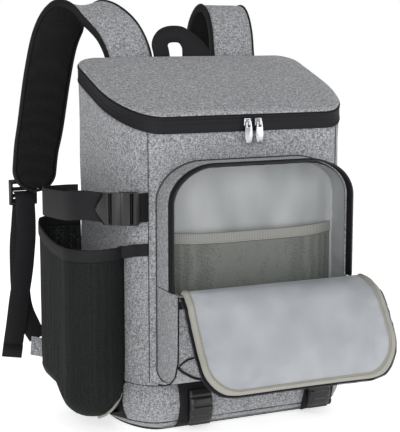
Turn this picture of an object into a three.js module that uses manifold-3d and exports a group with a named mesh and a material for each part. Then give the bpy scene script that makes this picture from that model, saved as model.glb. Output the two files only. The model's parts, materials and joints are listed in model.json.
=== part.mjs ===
// Cooler backpack, standing on its base with the front pocket unzipped and its flap hanging open.
// Millimetres. +Z is up, the front faces -Y, and X = 0 is the middle of the body.
// The origin is the centre of the flat underside of the base.
import * as THREE from "three";
import { mergeVertices } from "three/addons/utils/BufferGeometryUtils.js";
import Module from "manifold-3d";

const wasm = await Module();
wasm.setup();

// Body: a padded tub whose plan has long rounded front corners and small back ones.
const bodyWidth = 315;
const bodyDepth = 181;
const frontHeight = 361;
const lidSlopeDeg = 18.6;
const frontCornerAcross = 49;
const frontCornerBack = 92;
const backCorner = 25;
const wall = 8;
const soleThickness = 2.5;
const bottomSeamHeight = 12;
const baseSeamHeight = 58;
const basePuff = 7;
const clearance = 0.3;

// Lid and the zip band under it.
const bandHeight = 19;
const bandThickness = 3;
const bandProud = 0.8;
const lidCrown = 9;
const backHingeWidth = 262;

// Zip sliders and pulls of the lid.
const sliderWidth = 10;
const sliderHeight = 9;
const sliderThickness = 3;
const sliderSpacing = 14.5;
const sliderMiddle = 6;
const bailWidth = 2.2;
const bailWire = 1.2;
const bailReach = 3.8;
const bailHalfOpening = 2.4;
const pinRadius = 1.1;
const pullWidth = 10.5;
const pullLength = 27;
const pullThickness = 1.8;
const pullWindow = 7;
const pullProng = 2.6;

// Front pocket: a gusset on the body's front, deeper under the flap's fold.
const pocketMiddle = 2;
const pocketHalfWidth = 120;
const pocketAboveSeam = 3;
const pocketBelowRim = 33;
const pocketCornerAcross = 58;
const pocketCornerDown = 46;
const pocketBottomCorner = 18;
const pocketDepthLow = 61;
const pocketDepthHigh = 33;
const foldAboveBottom = 120;
const pocketWall = 3;
const liningThickness = 1.5;
const zipTapeWidth = 12;
const zipTapeThickness = 2.4;
const zipFootHeight = 5;
const pipingRadius = 1.6;
const innerMeshOverFold = 48;
const innerMeshHeight = 130;
const innerMeshOut = 8;
const innerMeshThickness = 1.2;
const elasticHeight = 12;
const elasticSag = 4;
const endTabWidth = 11;
const endTabHeight = 9;
const endTabThickness = 1.8;
const endTabDrop = 15;

// Flap of the front pocket, folded forward and hanging.
const flapMiddle = 7;
const flapHalfWidth = 120;
const flapLength = 140;
const flapBow = 4;
const flapThickness = 4;
const flapCorner = 42;
const flapBindingWidth = 9;
const flapBindingThickness = 1.6;
const flapTapeOverhang = 4;
const flapTapeLap = 7;
const flapTapeThickness = 1.4;

// Side pocket of mesh, which bulges in two round lobes.
const lobeRadius = 36;
const lobeFromSide = 25.7;
const lobeLapDeg = 342;
const lobeBackDeg = 76.8;
const frontLobeFromFront = 46.5;
const backLobeFromBack = 49.5;
const meshRootFromSide = 42.5;
const rimRiseFromFront = 45.5;
const rimRiseFromBack = 30.5;
const rimRiseBend = 2.2;
const rimSeamLift = 4;
const bottomStepFromFront = 50.5;
const bottomStepFromBack = 85.5;
const meshRoundIn = 28;
const meshRoundUp = 25;
const meshThickness = 1.6;
const meshBottomFront = 20.5;
const meshBottomBack = 40;
const meshRimFront = 228.5;
const meshRimBack = 248;
const meshBindingHeight = 15;
const meshBindingThickness = 2.4;
const seamFromSide = 31.1;

// Side compression strap and its buckle.
const sideStrapWidth = 34.5;
const sideStrapThickness = 1.6;
const sideStrapZ = 275.5;
const sideBuckleHeight = 39.5;
const sideBuckleThickness = 7;
const sideBuckleFromSide = 16.5;
const sideSocketLength = 23.5;
const sidePlugShoulder = 19.5;
const sidePlugLength = 30.5;
const sideSocketSlot = 10;
const sidePlugSlot = 13.5;
const sideBuckleLean = 0.06;
const buckleSlotWidth = 4.2;
const buckleRail = 5;
const sideBuckleRail = 1.6;

// Shoulder straps: padded, bound at the edges, with a ladder lock, webbing and a corner tab.
const padWidth = 56;
const padThickness = 12;
const padBinding = 3.3;
const padTaper = 0.92;
const padRound = 24;
const strapReach = 80;
const strapRise = 90;
const strapDrop = 154.4;
const webWidth = 26;
const webThickness = 1.8;
const lockWidth = 38;
const lockHeight = 34;
const lockThickness = 5;
const lockOut = 69.6;
const lockSlotPitch = 9;
const tabThickness = 2.5;

// Carry handle of webbing.
const handleWidth = 22;
const handleFootWidth = 42;
const handleThickness = 4;

// Straps and buckles on the front of the base.
const bottomStrapWidth = 42;
const bottomStrapThickness = 1.6;
const bottomStrapLeft = -72;
const bottomStrapRight = 99;
const bottomBuckleWidth = 30;
const bottomBuckleHeight = 45;
const bottomBuckleThickness = 5.5;
const bottomBuckleOffset = 3.5;
const bottomBuckleRibs = 4;
const bottomBuckleZ = 30.5;
const bottomStrapSplay = 4;

const front = -bodyDepth / 2;
const back = bodyDepth / 2;
const left = -bodyWidth / 2;
const right = bodyWidth / 2;
const slope = Math.tan(THREE.MathUtils.degToRad(lidSlopeDeg));
const point = (x, y, z) => new THREE.Vector3(x, y, z);
const riseAt = (y) => (y - front) * slope;
const backRim = frontHeight + riseAt(back);
const pocketBottom = baseSeamHeight + pocketAboveSeam;
const pocketTop = frontHeight - pocketBelowRim;
const foldHeight = pocketBottom + foldAboveBottom;
const innerMeshTop = foldHeight + innerMeshOverFold;
const seamX = right - seamFromSide;
const lobeX = left - lobeFromSide;
const lobeFrontY = front + frontLobeFromFront;
const lobeBackY = back - backLobeFromBack;
const buckleRight = left + sideBuckleFromSide;
const buckleJoint = buckleRight - sideSocketLength;
const socketSlotX = buckleRight - sideSocketSlot;
const plugSlotX = buckleJoint - sidePlugSlot;
const lockZ = backRim - strapDrop;
const smooth = (t) => THREE.MathUtils.smoothstep(t, 0, 1);
const mix = THREE.MathUtils.lerp;

// Materials, one for each finish.
const finish = (color, roughness, metalness = 0) => ({ color, roughness, metalness });
const heather = finish(0x87888c, 0.9);
const blackWeb = finish(0x232327, 0.75);
const blackMesh = finish(0x141416, 0.85);
const lining = finish(0xa9acb0, 0.5);
const binding = finish(0xb4b4ac, 0.6);
const blackPlastic = finish(0x1b1b1e, 0.4);
const silver = finish(0xb9bbbf, 0.3, 1);

const model = new THREE.Group();

function addPiece(name, geometry, look) {
  const mesh = new THREE.Mesh(geometry, new THREE.MeshStandardMaterial(look));
  mesh.name = name;
  model.add(mesh);
  return mesh;
}

// A closed body from points and triangles, turned so that its faces point out.
function closedBody(points, triangles) {
  const geometry = new THREE.BufferGeometry();
  geometry.setAttribute("position", new THREE.Float32BufferAttribute(points.flatMap((p) => [p.x, p.y, p.z]), 3));
  let volume = 0;
  for (const [a, b, c] of triangles) {
    volume += points[a].dot(points[b].clone().cross(points[c]));
  }
  const facing = volume < 0 ? triangles.map(([a, b, c]) => [a, c, b]) : triangles;
  geometry.setIndex(facing.flat());
  return geometry;
}

function capTriangles(ring, offset) {
  const normal = new THREE.Vector3();
  ring.forEach((p, i) => {
    const q = ring[(i + 1) % ring.length];
    normal.x += (p.y - q.y) * (p.z + q.z);
    normal.y += (p.z - q.z) * (p.x + q.x);
    normal.z += (p.x - q.x) * (p.y + q.y);
  });
  normal.normalize();
  const aside = Math.abs(normal.z) < 0.9 ? point(0, 0, 1) : point(1, 0, 0);
  const u = aside.cross(normal).normalize();
  const v = normal.clone().cross(u);
  const flat = ring.map((p) => new THREE.Vector2(p.dot(u), p.dot(v)));
  return THREE.ShapeUtils.triangulateShape(flat, []).map((t) => t.map((i) => i + offset));
}

// Joins rings of equally many points into one closed body, as a tube or as an endless loop.
function loft(rings, endless = false) {
  const count = rings[0].length;
  const triangles = [];
  const last = endless ? rings.length : rings.length - 1;
  for (let i = 0; i < last; i += 1) {
    const next = ((i + 1) % rings.length) * count;
    for (let j = 0; j < count; j += 1) {
      const k = (j + 1) % count;
      triangles.push([i * count + j, i * count + k, next + k], [i * count + j, next + k, next + j]);
    }
  }
  if (!endless) {
    const end = (rings.length - 1) * count;
    capTriangles(rings[0], 0).forEach(([a, b, c]) => triangles.push([a, c, b]));
    capTriangles(rings[rings.length - 1], end).forEach((t) => triangles.push(t));
  }
  return closedBody(rings.flat(), triangles);
}

function toManifold(geometry) {
  const bare = geometry.clone();
  bare.deleteAttribute("normal");
  bare.deleteAttribute("uv");
  const merged = mergeVertices(bare, 1e-4);
  return new wasm.Manifold(
    new wasm.Mesh({
      numProp: 3,
      vertProperties: Float32Array.from(merged.attributes.position.array),
      triVerts: Uint32Array.from(merged.index.array),
    }),
  );
}

function fromManifold(solid) {
  const mesh = solid.getMesh();
  const geometry = new THREE.BufferGeometry();
  geometry.setAttribute("position", new THREE.Float32BufferAttribute(mesh.vertProperties, 3));
  geometry.setIndex([...mesh.triVerts]);
  return geometry;
}

const joined = (...shapes) => shapes.map(toManifold).reduce((a, b) => a.add(b));
const cut = (solid, ...cutters) => cutters.reduce((a, b) => a.subtract(toManifold(b)), solid);

function boxBetween(low, high) {
  const geometry = new THREE.BoxGeometry(high.x - low.x, high.y - low.y, high.z - low.z);
  geometry.translate((low.x + high.x) / 2, (low.y + high.y) / 2, (low.z + high.z) / 2);
  return geometry;
}

// A flat band along a path: across is the direction of its width at each point.
function band(path, acrosses, width, thickness, endless = false) {
  const count = path.length;
  const rings = path.map((p, i) => {
    const before = path[endless ? (i + count - 1) % count : Math.max(i - 1, 0)];
    const after = path[endless ? (i + 1) % count : Math.min(i + 1, count - 1)];
    const along = after.clone().sub(before).normalize();
    const across = acrosses[i].clone().addScaledVector(along, -acrosses[i].dot(along)).normalize();
    const out = along.clone().cross(across).normalize();
    const half = typeof width === "function" ? width(i / (count - 1)) / 2 : width / 2;
    const place = (s, t) => p.clone().addScaledVector(across, s * half).addScaledVector(out, (t * thickness) / 2);
    return [place(-1, -1), place(1, -1), place(1, 1), place(-1, 1)];
  });
  return loft(rings, endless);
}

const smoothPath = (points, steps) => new THREE.CatmullRomCurve3(points, false, "centripetal").getPoints(steps);

// Plan outline of the body, grown by a distance: front corners are quarter ellipses.
function arc(cx, cy, rx, ry, fromDeg, toDeg, steps) {
  return Array.from({ length: steps + 1 }, (_, i) => {
    const angle = THREE.MathUtils.degToRad(mix(fromDeg, toDeg, i / steps));
    return [cx + rx * Math.cos(angle), cy + ry * Math.sin(angle)];
  });
}

function bodyOutline(grow = 0) {
  const x = bodyWidth / 2 - frontCornerAcross;
  const yFront = front + frontCornerBack;
  const xBack = bodyWidth / 2 - backCorner;
  const yBack = back - backCorner;
  const [rx, ry, rb] = [frontCornerAcross + grow, frontCornerBack + grow, backCorner + grow];
  return [
    ...arc(-x, yFront, rx, ry, 180, 270, 10),
    ...arc(x, yFront, rx, ry, 270, 360, 10),
    ...arc(xBack, yBack, rb, rb, 0, 90, 4),
    ...arc(-xBack, yBack, rb, rb, 90, 180, 4),
  ];
}

const levelRing = (grow, z) => bodyOutline(grow).map(([x, y]) => point(x, y, z));
const slopedRing = (grow, z) => bodyOutline(grow).map(([x, y]) => point(x, y, z + riseAt(y)));

// How far the base puffs out between its two seams, as shares of the puff and of the height between them.
const puffRows = [
  { up: 0, out: 0 },
  { up: 0.25, out: 0.7 },
  { up: 0.5, out: 1 },
  { up: 0.75, out: 0.75 },
  { up: 1, out: 0 },
];

function bodyForm(grow = 0) {
  const rings = [levelRing(grow - 13, soleThickness + clearance), levelRing(grow - 4.5, bottomSeamHeight / 2)];
  for (const row of puffRows) {
    rings.push(levelRing(grow + row.out * basePuff, mix(bottomSeamHeight, baseSeamHeight, row.up)));
  }
  rings.push(slopedRing(grow, frontHeight));
  return loft(rings);
}

function buildBody() {
  const cavity = loft([
    levelRing(-wall - 6, wall + soleThickness),
    levelRing(-wall, bottomSeamHeight + wall),
    slopedRing(-wall, frontHeight + 1),
  ]);
  addPiece("body_shell", fromManifold(cut(toManifold(bodyForm()), cavity)), heather);
  addPiece("base_sole", loft([levelRing(-14, 0), levelRing(-11.5, soleThickness)]), blackWeb);
}

function buildLid() {
  const bandLow = frontHeight + clearance;
  const bandTop = bandLow + bandHeight;
  const ring = (grow, z) => slopedRing(grow, z);
  const outer = loft([ring(bandProud, bandLow), ring(bandProud, bandTop)]);
  const hollow = loft([ring(bandProud - bandThickness, bandLow - 1), ring(bandProud - bandThickness, bandTop + 1)]);
  const fullBand = cut(toManifold(outer), hollow);
  const hingeZone = (half) =>
    boxBetween(point(-half, back - backCorner / 2, 0), point(half, back + 9, frontHeight + bodyDepth));
  addPiece("lid_zip_tape", fromManifold(cut(fullBand, hingeZone(backHingeWidth / 2))), blackWeb);
  const hinge = fullBand.intersect(toManifold(hingeZone(backHingeWidth / 2 - clearance)));
  addPiece("lid_back_hinge", fromManifold(hinge), heather);

  // The padded panel swells from its edge to a low crown: shares of the plan and of the crown.
  const crownRows = [
    { plan: 1, up: 0 },
    { plan: 1.003, up: 0.25 },
    { plan: 0.992, up: 0.52 },
    { plan: 0.965, up: 0.7 },
    { plan: 0.85, up: 0.85 },
    { plan: 0.6, up: 0.95 },
    { plan: 0.3, up: 1 },
  ];
  const base = bandTop + clearance;
  const rings = crownRows.map((row) =>
    bodyOutline(0).map(([x, y]) => point(x * row.plan, y * row.plan, base + riseAt(y * row.plan) + row.up * lidCrown)),
  );
  addPiece("lid", loft(rings), heather);
}

// Each slider carries a bail, and the pull's cross pin hangs in it.
function buildZipPulls() {
  const faceY = front - bandProud - clearance - sliderThickness;
  const pinY = faceY - bailReach / 2;
  const z = frontHeight + bandHeight / 2 + 1.5;
  for (const [side, sign] of [["left", -1], ["right", 1]]) {
    const x = sliderMiddle + (sign * sliderSpacing) / 2;
    const half = sliderWidth / 2;
    const plate = (grow, y) => [
      point(x - half - grow, y, z - sliderHeight / 2),
      point(x + half + grow, y, z - sliderHeight / 2),
      point(x + half + grow, y, z + sliderHeight / 2),
      point(x - half - grow, y, z + sliderHeight / 2),
    ];
    const slab = loft([plate(0, front - bandProud - clearance), plate(0, faceY + 1), plate(-1, faceY)]);
    const bailOut = boxBetween(
      point(x - bailWidth / 2, faceY - bailReach - bailWire, z - bailHalfOpening - bailWire),
      point(x + bailWidth / 2, faceY + 0.5, z + bailHalfOpening + bailWire),
    );
    const bailHole = boxBetween(
      point(x - bailWidth, faceY - bailReach, z - bailHalfOpening),
      point(x + bailWidth, faceY, z + bailHalfOpening),
    );
    addPiece(`zip_slider_${side}`, fromManifold(cut(joined(slab, bailOut), bailHole)), silver);

    const w = pullWidth / 2;
    const outline = new THREE.Shape([
      new THREE.Vector2(-w * 0.62, pinRadius),
      new THREE.Vector2(-w * 0.86, -pullWindow),
      new THREE.Vector2(-w, -pullLength * 0.6),
      new THREE.Vector2(-w * 0.72, -pullLength * 0.9),
      new THREE.Vector2(0, -pullLength),
      new THREE.Vector2(w * 0.72, -pullLength * 0.9),
      new THREE.Vector2(w, -pullLength * 0.6),
      new THREE.Vector2(w * 0.86, -pullWindow),
      new THREE.Vector2(w * 0.62, pinRadius),
    ]);
    const windowHalf = pullProng - 0.8;
    outline.holes.push(
      new THREE.Path([
        new THREE.Vector2(-windowHalf, -pinRadius),
        new THREE.Vector2(windowHalf, -pinRadius),
        new THREE.Vector2(windowHalf, -pullWindow + 1),
        new THREE.Vector2(-windowHalf, -pullWindow + 1),
      ]),
    );
    const pull = new THREE.ExtrudeGeometry(outline, { depth: pullThickness, bevelEnabled: false });
    pull.translate(0, 0, -pullThickness / 2);
    pull.rotateX(Math.PI / 2);
    const piece = addPiece(`zip_pull_${side}`, pull, silver);
    piece.position.set(x, pinY, z);
  }
}

// Outline of the pocket in X and Z, shrunk by an inset.
function pocketOutline(inset = 0) {
  const half = pocketHalfWidth - inset;
  const [top, bottom] = [pocketTop - inset, pocketBottom + inset];
  const [rx, rz] = [pocketCornerAcross - inset, pocketCornerDown - inset];
  const r = Math.max(pocketBottomCorner - inset, 2);
  return [
    ...arc(half - rx, top - rz, rx, rz, 0, 90, 8),
    ...arc(-half + rx, top - rz, rx, rz, 90, 180, 8),
    ...arc(-half + r, bottom + r, r, r, 180, 270, 3),
    ...arc(half - r, bottom + r, r, r, 270, 360, 3),
  ].map(([x, z]) => [x + pocketMiddle, z]);
}

// Side view of the pocket: depth in front of the body against height, as shares of the low depth and of the drop
// from the fold to the bottom.
const pocketRows = [
  { out: 0, up: 0 },
  { out: 0.1, up: 0.005 },
  { out: 0.35, up: 0.035 },
  { out: 0.62, up: 0.09 },
  { out: 0.84, up: 0.18 },
  { out: 0.98, up: 0.35 },
  { out: 1, up: 0.6 },
  { out: 1, up: 1 },
];

const lowerPocket = pocketRows.map((row) => [
  row.out * pocketDepthLow,
  mix(pocketBottom, foldHeight, row.up),
]);

function depthAt(z) {
  const above = lowerPocket.findIndex(([, height]) => height >= z);
  if (above <= 0) return above < 0 ? pocketDepthLow : 0;
  const [d0, z0] = lowerPocket[above - 1];
  const [d1, z1] = lowerPocket[above];
  return mix(d0, d1, (z - z0) / (z1 - z0));
}

// The pocket's solid: its outline cut to its side view, inset on every side, from behind the body's front to the
// low depth under the fold and to a given depth over it.
function pocketForm(inset, depthHigh) {
  const far = pocketDepthLow + 60;
  const outline = pocketOutline(inset);
  const prism = loft([
    outline.map(([x, z]) => point(x, front + 12, z)),
    outline.map(([x, z]) => point(x, front - far, z)),
  ]);
  const inner = lowerPocket.slice(0, -1).map(([out, z], i) => {
    const share = Math.min(1, i / 4);
    return [out - inset * share, z + inset * (1 - share)];
  });
  const side = [
    [-20, pocketBottom + inset],
    ...inner,
    [pocketDepthLow - inset, foldHeight],
    [depthHigh, foldHeight],
    [depthHigh, pocketTop + 20],
    [-20, pocketTop + 20],
  ];
  const half = pocketHalfWidth + 20;
  const slab = loft([
    side.map(([out, z]) => point(pocketMiddle - half, front - out, z)),
    side.map(([out, z]) => point(pocketMiddle + half, front - out, z)),
  ]);
  return toManifold(prism).intersect(toManifold(slab));
}

function archRing(inset, nearest, farthest) {
  const outline = pocketOutline(inset);
  return loft([
    outline.map(([x, z]) => point(x, front - nearest, z)),
    outline.map(([x, z]) => point(x, front - farthest, z)),
  ]);
}

function buildPocket() {
  const openDepth = pocketDepthLow + 50;
  const bodyRoom = toManifold(bodyForm(clearance));
  const hollow = pocketForm(pocketWall, openDepth);
  const shell = pocketForm(0, pocketDepthHigh).subtract(hollow).subtract(bodyRoom);
  addPiece("pocket_shell", fromManifold(shell), heather);

  const liningOut = pocketWall + clearance;
  const liningSolid = pocketForm(liningOut, pocketDepthHigh);
  const liningHollow = pocketForm(liningOut + liningThickness, openDepth);
  const backSheet = boxBetween(
    point(-bodyWidth, front - liningThickness - clearance, 0),
    point(bodyWidth, front + 20, frontHeight),
  );
  const liningShell = liningSolid.subtract(liningHollow.subtract(toManifold(backSheet))).subtract(bodyRoom);
  addPiece("pocket_lining", fromManifold(liningShell), lining);

  const tapeNear = pocketDepthHigh + clearance;
  const tapeFar = tapeNear + zipTapeWidth;
  const tape = cut(toManifold(archRing(0, tapeNear, tapeFar)), archRing(zipTapeThickness, tapeNear - 1, tapeFar + 1));
  const below = boxBetween(
    point(-bodyWidth, front - tapeFar - 5, 0),
    point(bodyWidth, front, foldHeight + clearance),
  );
  addPiece("pocket_zip_tape", fromManifold(cut(tape, below)), blackWeb);

  buildPiping();
  buildInnerPocket();
  for (const [side, sign] of [["left", -1], ["right", 1]]) {
    const outer = pocketMiddle + sign * (pocketHalfWidth - 0.5);
    const inner = outer - sign * endTabWidth;
    const near = front - pocketDepthLow - clearance;
    const low = foldHeight - endTabDrop;
    const tab = boxBetween(
      point(Math.min(outer, inner), near - endTabThickness, low),
      point(Math.max(outer, inner), near, low + endTabHeight),
    );
    addPiece(`zip_end_tab_${side}`, tab, blackWeb);
  }
}

// Piping on the front panel's lower edge: X from the pocket's middle as a share of the half width, and height.
const pipingRows = [
  { across: -0.985, up: 36 },
  { across: -0.95, up: 31 },
  { across: -0.85, up: 23 },
  { across: -0.72, up: 15.5 },
  { across: -0.55, up: 10.5 },
  { across: 0, up: 9 },
  { across: 0.55, up: 10.5 },
  { across: 0.72, up: 15.5 },
  { across: 0.85, up: 23 },
  { across: 0.95, up: 31 },
  { across: 0.985, up: 36 },
];

function buildPiping() {
  const path = smoothPath(
    pipingRows.map((row) => point(pocketMiddle + row.across * pocketHalfWidth, 0, pocketBottom + row.up)),
    36,
  );
  const lift = pipingRadius + clearance;
  const rings = path.map((p, i) => {
    const next = path[Math.min(i + 1, path.length - 1)].clone().sub(path[Math.max(i - 1, 0)]).setY(0).normalize();
    const rise = (depthAt(p.z + 2) - depthAt(p.z - 2)) / 4;
    const out = point(0, -1, -rise).normalize();
    const centre = point(p.x, front - depthAt(p.z), p.z).addScaledVector(out, lift + 0.25);
    const along = next.clone().addScaledVector(out, -next.dot(out)).normalize();
    const aside = along.clone().cross(out).normalize();
    return Array.from({ length: 6 }, (_, k) => {
      const angle = (k / 6) * 2 * Math.PI;
      return centre
        .clone()
        .addScaledVector(out, pipingRadius * Math.cos(angle))
        .addScaledVector(aside, pipingRadius * Math.sin(angle));
    });
  });
  addPiece("pocket_piping", loft(rings), blackWeb);
}

// Mesh pocket sewn inside the open pocket, with an elastic top edge that sags in the middle.
function buildInnerPocket() {
  const half = pocketHalfWidth - pocketWall - liningThickness - 3 * clearance;
  const steps = 16;
  const sheetRing = (z, out, thickness, sag) => {
    const place = (i, extra) => {
      const share = mix(-1, 1, i / steps);
      const bow = 1 - share ** 4;
      return point(pocketMiddle + share * half, front - 2.4 - out * bow - extra, z - sag * bow);
    };
    const inner = Array.from({ length: steps + 1 }, (_, i) => place(i, 0));
    const outer = Array.from({ length: steps + 1 }, (_, i) => place(steps - i, thickness));
    return [...inner, ...outer];
  };
  const low = innerMeshTop - innerMeshHeight;
  addPiece(
    "pocket_inner_mesh",
    loft([
      sheetRing(low, 1, innerMeshThickness, 0),
      sheetRing(low + 40, innerMeshOut, innerMeshThickness, 0),
      sheetRing(innerMeshTop + elasticSag, innerMeshOut, innerMeshThickness, elasticSag),
    ]),
    blackMesh,
  );
  const elasticLow = innerMeshTop + elasticSag + 3 * clearance;
  addPiece(
    "pocket_inner_elastic",
    loft([
      sheetRing(elasticLow, innerMeshOut, 2, elasticSag),
      sheetRing(elasticLow + elasticHeight, innerMeshOut, 2, elasticSag),
    ]),
    blackWeb,
  );
}

// Side view of the open flap at its left and right edge, in shares of its length: out from the front panel, and up
// from the fold.
const flapRows = [
  { leftOut: -0.007, leftUp: 0.021, rightOut: -0.004, rightUp: 0.021 },
  { leftOut: 0.057, leftUp: 0, rightOut: 0.136, rightUp: 0.004 },
  { leftOut: 0.129, leftUp: -0.086, rightOut: 0.257, rightUp: -0.043 },
  { leftOut: 0.2, leftUp: -0.221, rightOut: 0.364, rightUp: -0.146 },
  { leftOut: 0.293, leftUp: -0.371, rightOut: 0.45, rightUp: -0.271 },
  { leftOut: 0.386, leftUp: -0.5, rightOut: 0.529, rightUp: -0.407 },
  { leftOut: 0.457, leftUp: -0.621, rightOut: 0.586, rightUp: -0.546 },
  { leftOut: 0.514, leftUp: -0.729, rightOut: 0.629, rightUp: -0.7 },
];
const flapSpot = (x, out, up) =>
  point(x, front - pocketDepthLow - out * flapLength, foldHeight + up * flapLength);
const flapEdges = [-1, 1].map(
  (sign) =>
    new THREE.CatmullRomCurve3(
      flapRows.map((row) =>
        sign < 0
          ? flapSpot(flapMiddle - flapHalfWidth, row.leftOut, row.leftUp)
          : flapSpot(flapMiddle + flapHalfWidth, row.rightOut, row.rightUp),
      ),
      false,
      "centripetal",
    ),
);

// A point of the flap: across from -1 to 1, down from 0 to 1 or past the free end, and lift towards its lining side.
function flapPoint(across, down, lift) {
  const at = (a, d) => {
    const onFlap = Math.min(d, 1);
    const [left, right] = flapEdges.map((curve) =>
      curve.getPoint(onFlap).addScaledVector(curve.getTangent(onFlap), (d - onFlap) * flapLength),
    );
    const p = left.lerp(right, (a + 1) / 2);
    p.y += flapBow * (1 - a * a) * onFlap;
    return p;
  };
  const p = at(across, down);
  const along = at(across, down + 0.02).sub(at(across, Math.max(down - 0.02, 0)));
  const side = at(across + 0.02, down).sub(at(across - 0.02, down));
  const normal = along.cross(side).normalize();
  return p.addScaledVector(normal, lift);
}

// Half width of the flap at a distance from its free end, with round corners and an inset.
function flapHalf(down, inset) {
  const length = flapLength - inset;
  const left = length - down * length;
  const r = flapCorner - inset;
  const half = flapHalfWidth - inset;
  return left >= r ? half : half - r + Math.sqrt(Math.max(r * r - (r - left) ** 2, 0));
}

// Outline of the flap from near the hinge down the left edge, round the free end and up, as across and down.
function flapEdge(inset, start, steps = 30) {
  const length = flapLength - inset;
  const half = flapHalfWidth - inset;
  const r = flapCorner - inset;
  const straight = 8;
  const points = [];
  for (let i = 0; i < straight; i += 1) points.push([-half, mix(start, length - r, i / straight)]);
  for (let i = 0; i <= 8; i += 1) {
    const angle = ((Math.PI / 2) * i) / 8;
    points.push([-half + r - r * Math.cos(angle), length - r + r * Math.sin(angle)]);
  }
  for (let i = 1; i < steps - 17; i += 1) points.push([mix(-half + r, half - r, i / (steps - 17)), length]);
  return [...points, ...points.slice(0, straight + 9).reverse().map(([x, d]) => [-x, d])];
}

function flapStrip(outerInset, innerInset, start, low, high) {
  const outer = flapEdge(outerInset, start);
  const inner = flapEdge(innerInset, start);
  const place = ([x, d], lift) => flapPoint(x / flapHalfWidth, d / flapLength, lift);
  return loft(
    outer.map((edge, i) => [place(edge, low), place(inner[i], low), place(inner[i], high), place(edge, high)]),
  );
}

function buildFlap() {
  const rows = 18;
  const columns = 20;
  const halfThick = flapThickness / 2;
  const rings = Array.from({ length: rows + 1 }, (_, i) => {
    const down = 1 - (1 - i / rows) ** 1.4;
    const half = flapHalf(down, 0) / flapHalfWidth;
    const line = (lift) =>
      Array.from({ length: columns + 1 }, (_, j) => flapPoint(mix(-half, half, j / columns), down, lift));
    return [...line(-halfThick), ...line(halfThick).reverse()];
  });
  addPiece("pocket_flap", loft(rings), lining);
  const top = halfThick + 2 * clearance;
  addPiece("flap_binding", flapStrip(0, flapBindingWidth, 2, top, top + flapBindingThickness), binding);
  addPiece("flap_zip_tape", flapStrip(-flapTapeOverhang, flapTapeLap, 12, -top - flapTapeThickness, -top), blackWeb);
}

// Plan of the side pocket, grown by a distance: from the body round the front lobe, along to the back lobe and back.
function sidePlan(grow) {
  const r = lobeRadius + grow;
  const rootX = left + meshRootFromSide;
  const rootY = lobeFrontY + lobeRadius * Math.sin(THREE.MathUtils.degToRad(lobeLapDeg)) - grow;
  const b = THREE.MathUtils.degToRad(lobeBackDeg);
  const [bx, by] = [left + 5.5 + grow * Math.cos(b), back - 19.5 + grow * Math.sin(b)];
  return [
    [rootX, rootY],
    ...arc(lobeX, lobeFrontY, r, r, lobeLapDeg, 180, 12),
    ...[0.2, 0.4, 0.6, 0.8].map((t) => [lobeX - r - 4 * t * (1 - t), mix(lobeFrontY, lobeBackY, t)]),
    ...arc(lobeX, lobeBackY, r, r, 180, lobeBackDeg, 7),
    [bx, by],
    [rootX, by - 4],
  ];
}

// The rim rises towards the back, and the bottom steps up from the front lobe to the back one.
function meshRim(y) {
  const along = (y - front - rimRiseFromFront) / (bodyDepth - rimRiseFromFront - rimRiseFromBack);
  return mix(meshRimFront, meshRimBack, THREE.MathUtils.clamp(along, 0, 1) ** rimRiseBend);
}
function meshBottom(y) {
  const along = (y - front - bottomStepFromFront) / (bodyDepth - bottomStepFromFront - bottomStepFromBack);
  return mix(meshBottomFront, meshBottomBack, smooth(along));
}

// Side view of the round bottom edge, as shares of how far it goes in and up.
const meshRoundRows = [
  { inward: 1, up: 0 },
  { inward: 0.62, up: 0.08 },
  { inward: 0.27, up: 0.34 },
  { inward: 0.07, up: 0.68 },
  { inward: 0, up: 1 },
];

function sidePocketForm(inset, topLift, lowLift) {
  const ring = (grow, heightAt) => sidePlan(grow - inset).map(([x, y]) => point(x, y, heightAt(y)));
  return loft([
    ...meshRoundRows.map((row) =>
      ring(-row.inward * meshRoundIn, (y) => meshBottom(y) + lowLift + row.up * meshRoundUp),
    ),
    ring(0, (y) => meshRim(y) + topLift),
  ]);
}

function buildSidePocket() {
  const bodyRoom = toManifold(bodyForm(clearance));
  const outer = toManifold(sidePocketForm(0, -meshBindingHeight, 0));
  const hollow = sidePocketForm(meshThickness, 5, meshThickness);
  addPiece("side_pocket_mesh", fromManifold(cut(outer, hollow).subtract(bodyRoom)), blackMesh);

  const rim = (grow, lift) => sidePlan(grow).map(([x, y]) => point(x, y, meshRim(y) + lift));
  const ringOut = loft([rim(0.5, -meshBindingHeight - 3), rim(0.5, 0)]);
  const inside = rim(0.5 - meshBindingThickness, 0);
  const ringIn = loft([
    inside.map((p) => p.clone().setZ(p.z - meshBindingHeight - 6)),
    inside.map((p) => p.clone().setZ(p.z + 3)),
  ]);
  const seamEnd = (x, lift) => [
    point(x, front - 10, meshRimFront - meshBindingHeight + clearance + lift),
    point(x, front + 40, meshRimFront - meshBindingHeight + clearance + lift),
    point(x, front + 40, meshRimFront + lift),
    point(x, front - 10, meshRimFront + lift),
  ];
  const toSeam = toManifold(loft([seamEnd(left + 7.5, 0), seamEnd(-seamX, rimSeamLift)])).intersect(
    toManifold(bodyForm(clearance + meshBindingThickness)),
  );
  const net = toManifold(sidePocketForm(-0.6, 4 * clearance - meshBindingHeight, 0));
  const whole = cut(toManifold(ringOut), ringIn).subtract(net).add(toSeam);
  addPiece("side_pocket_binding", fromManifold(whole.subtract(bodyRoom)), blackWeb);
}

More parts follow.
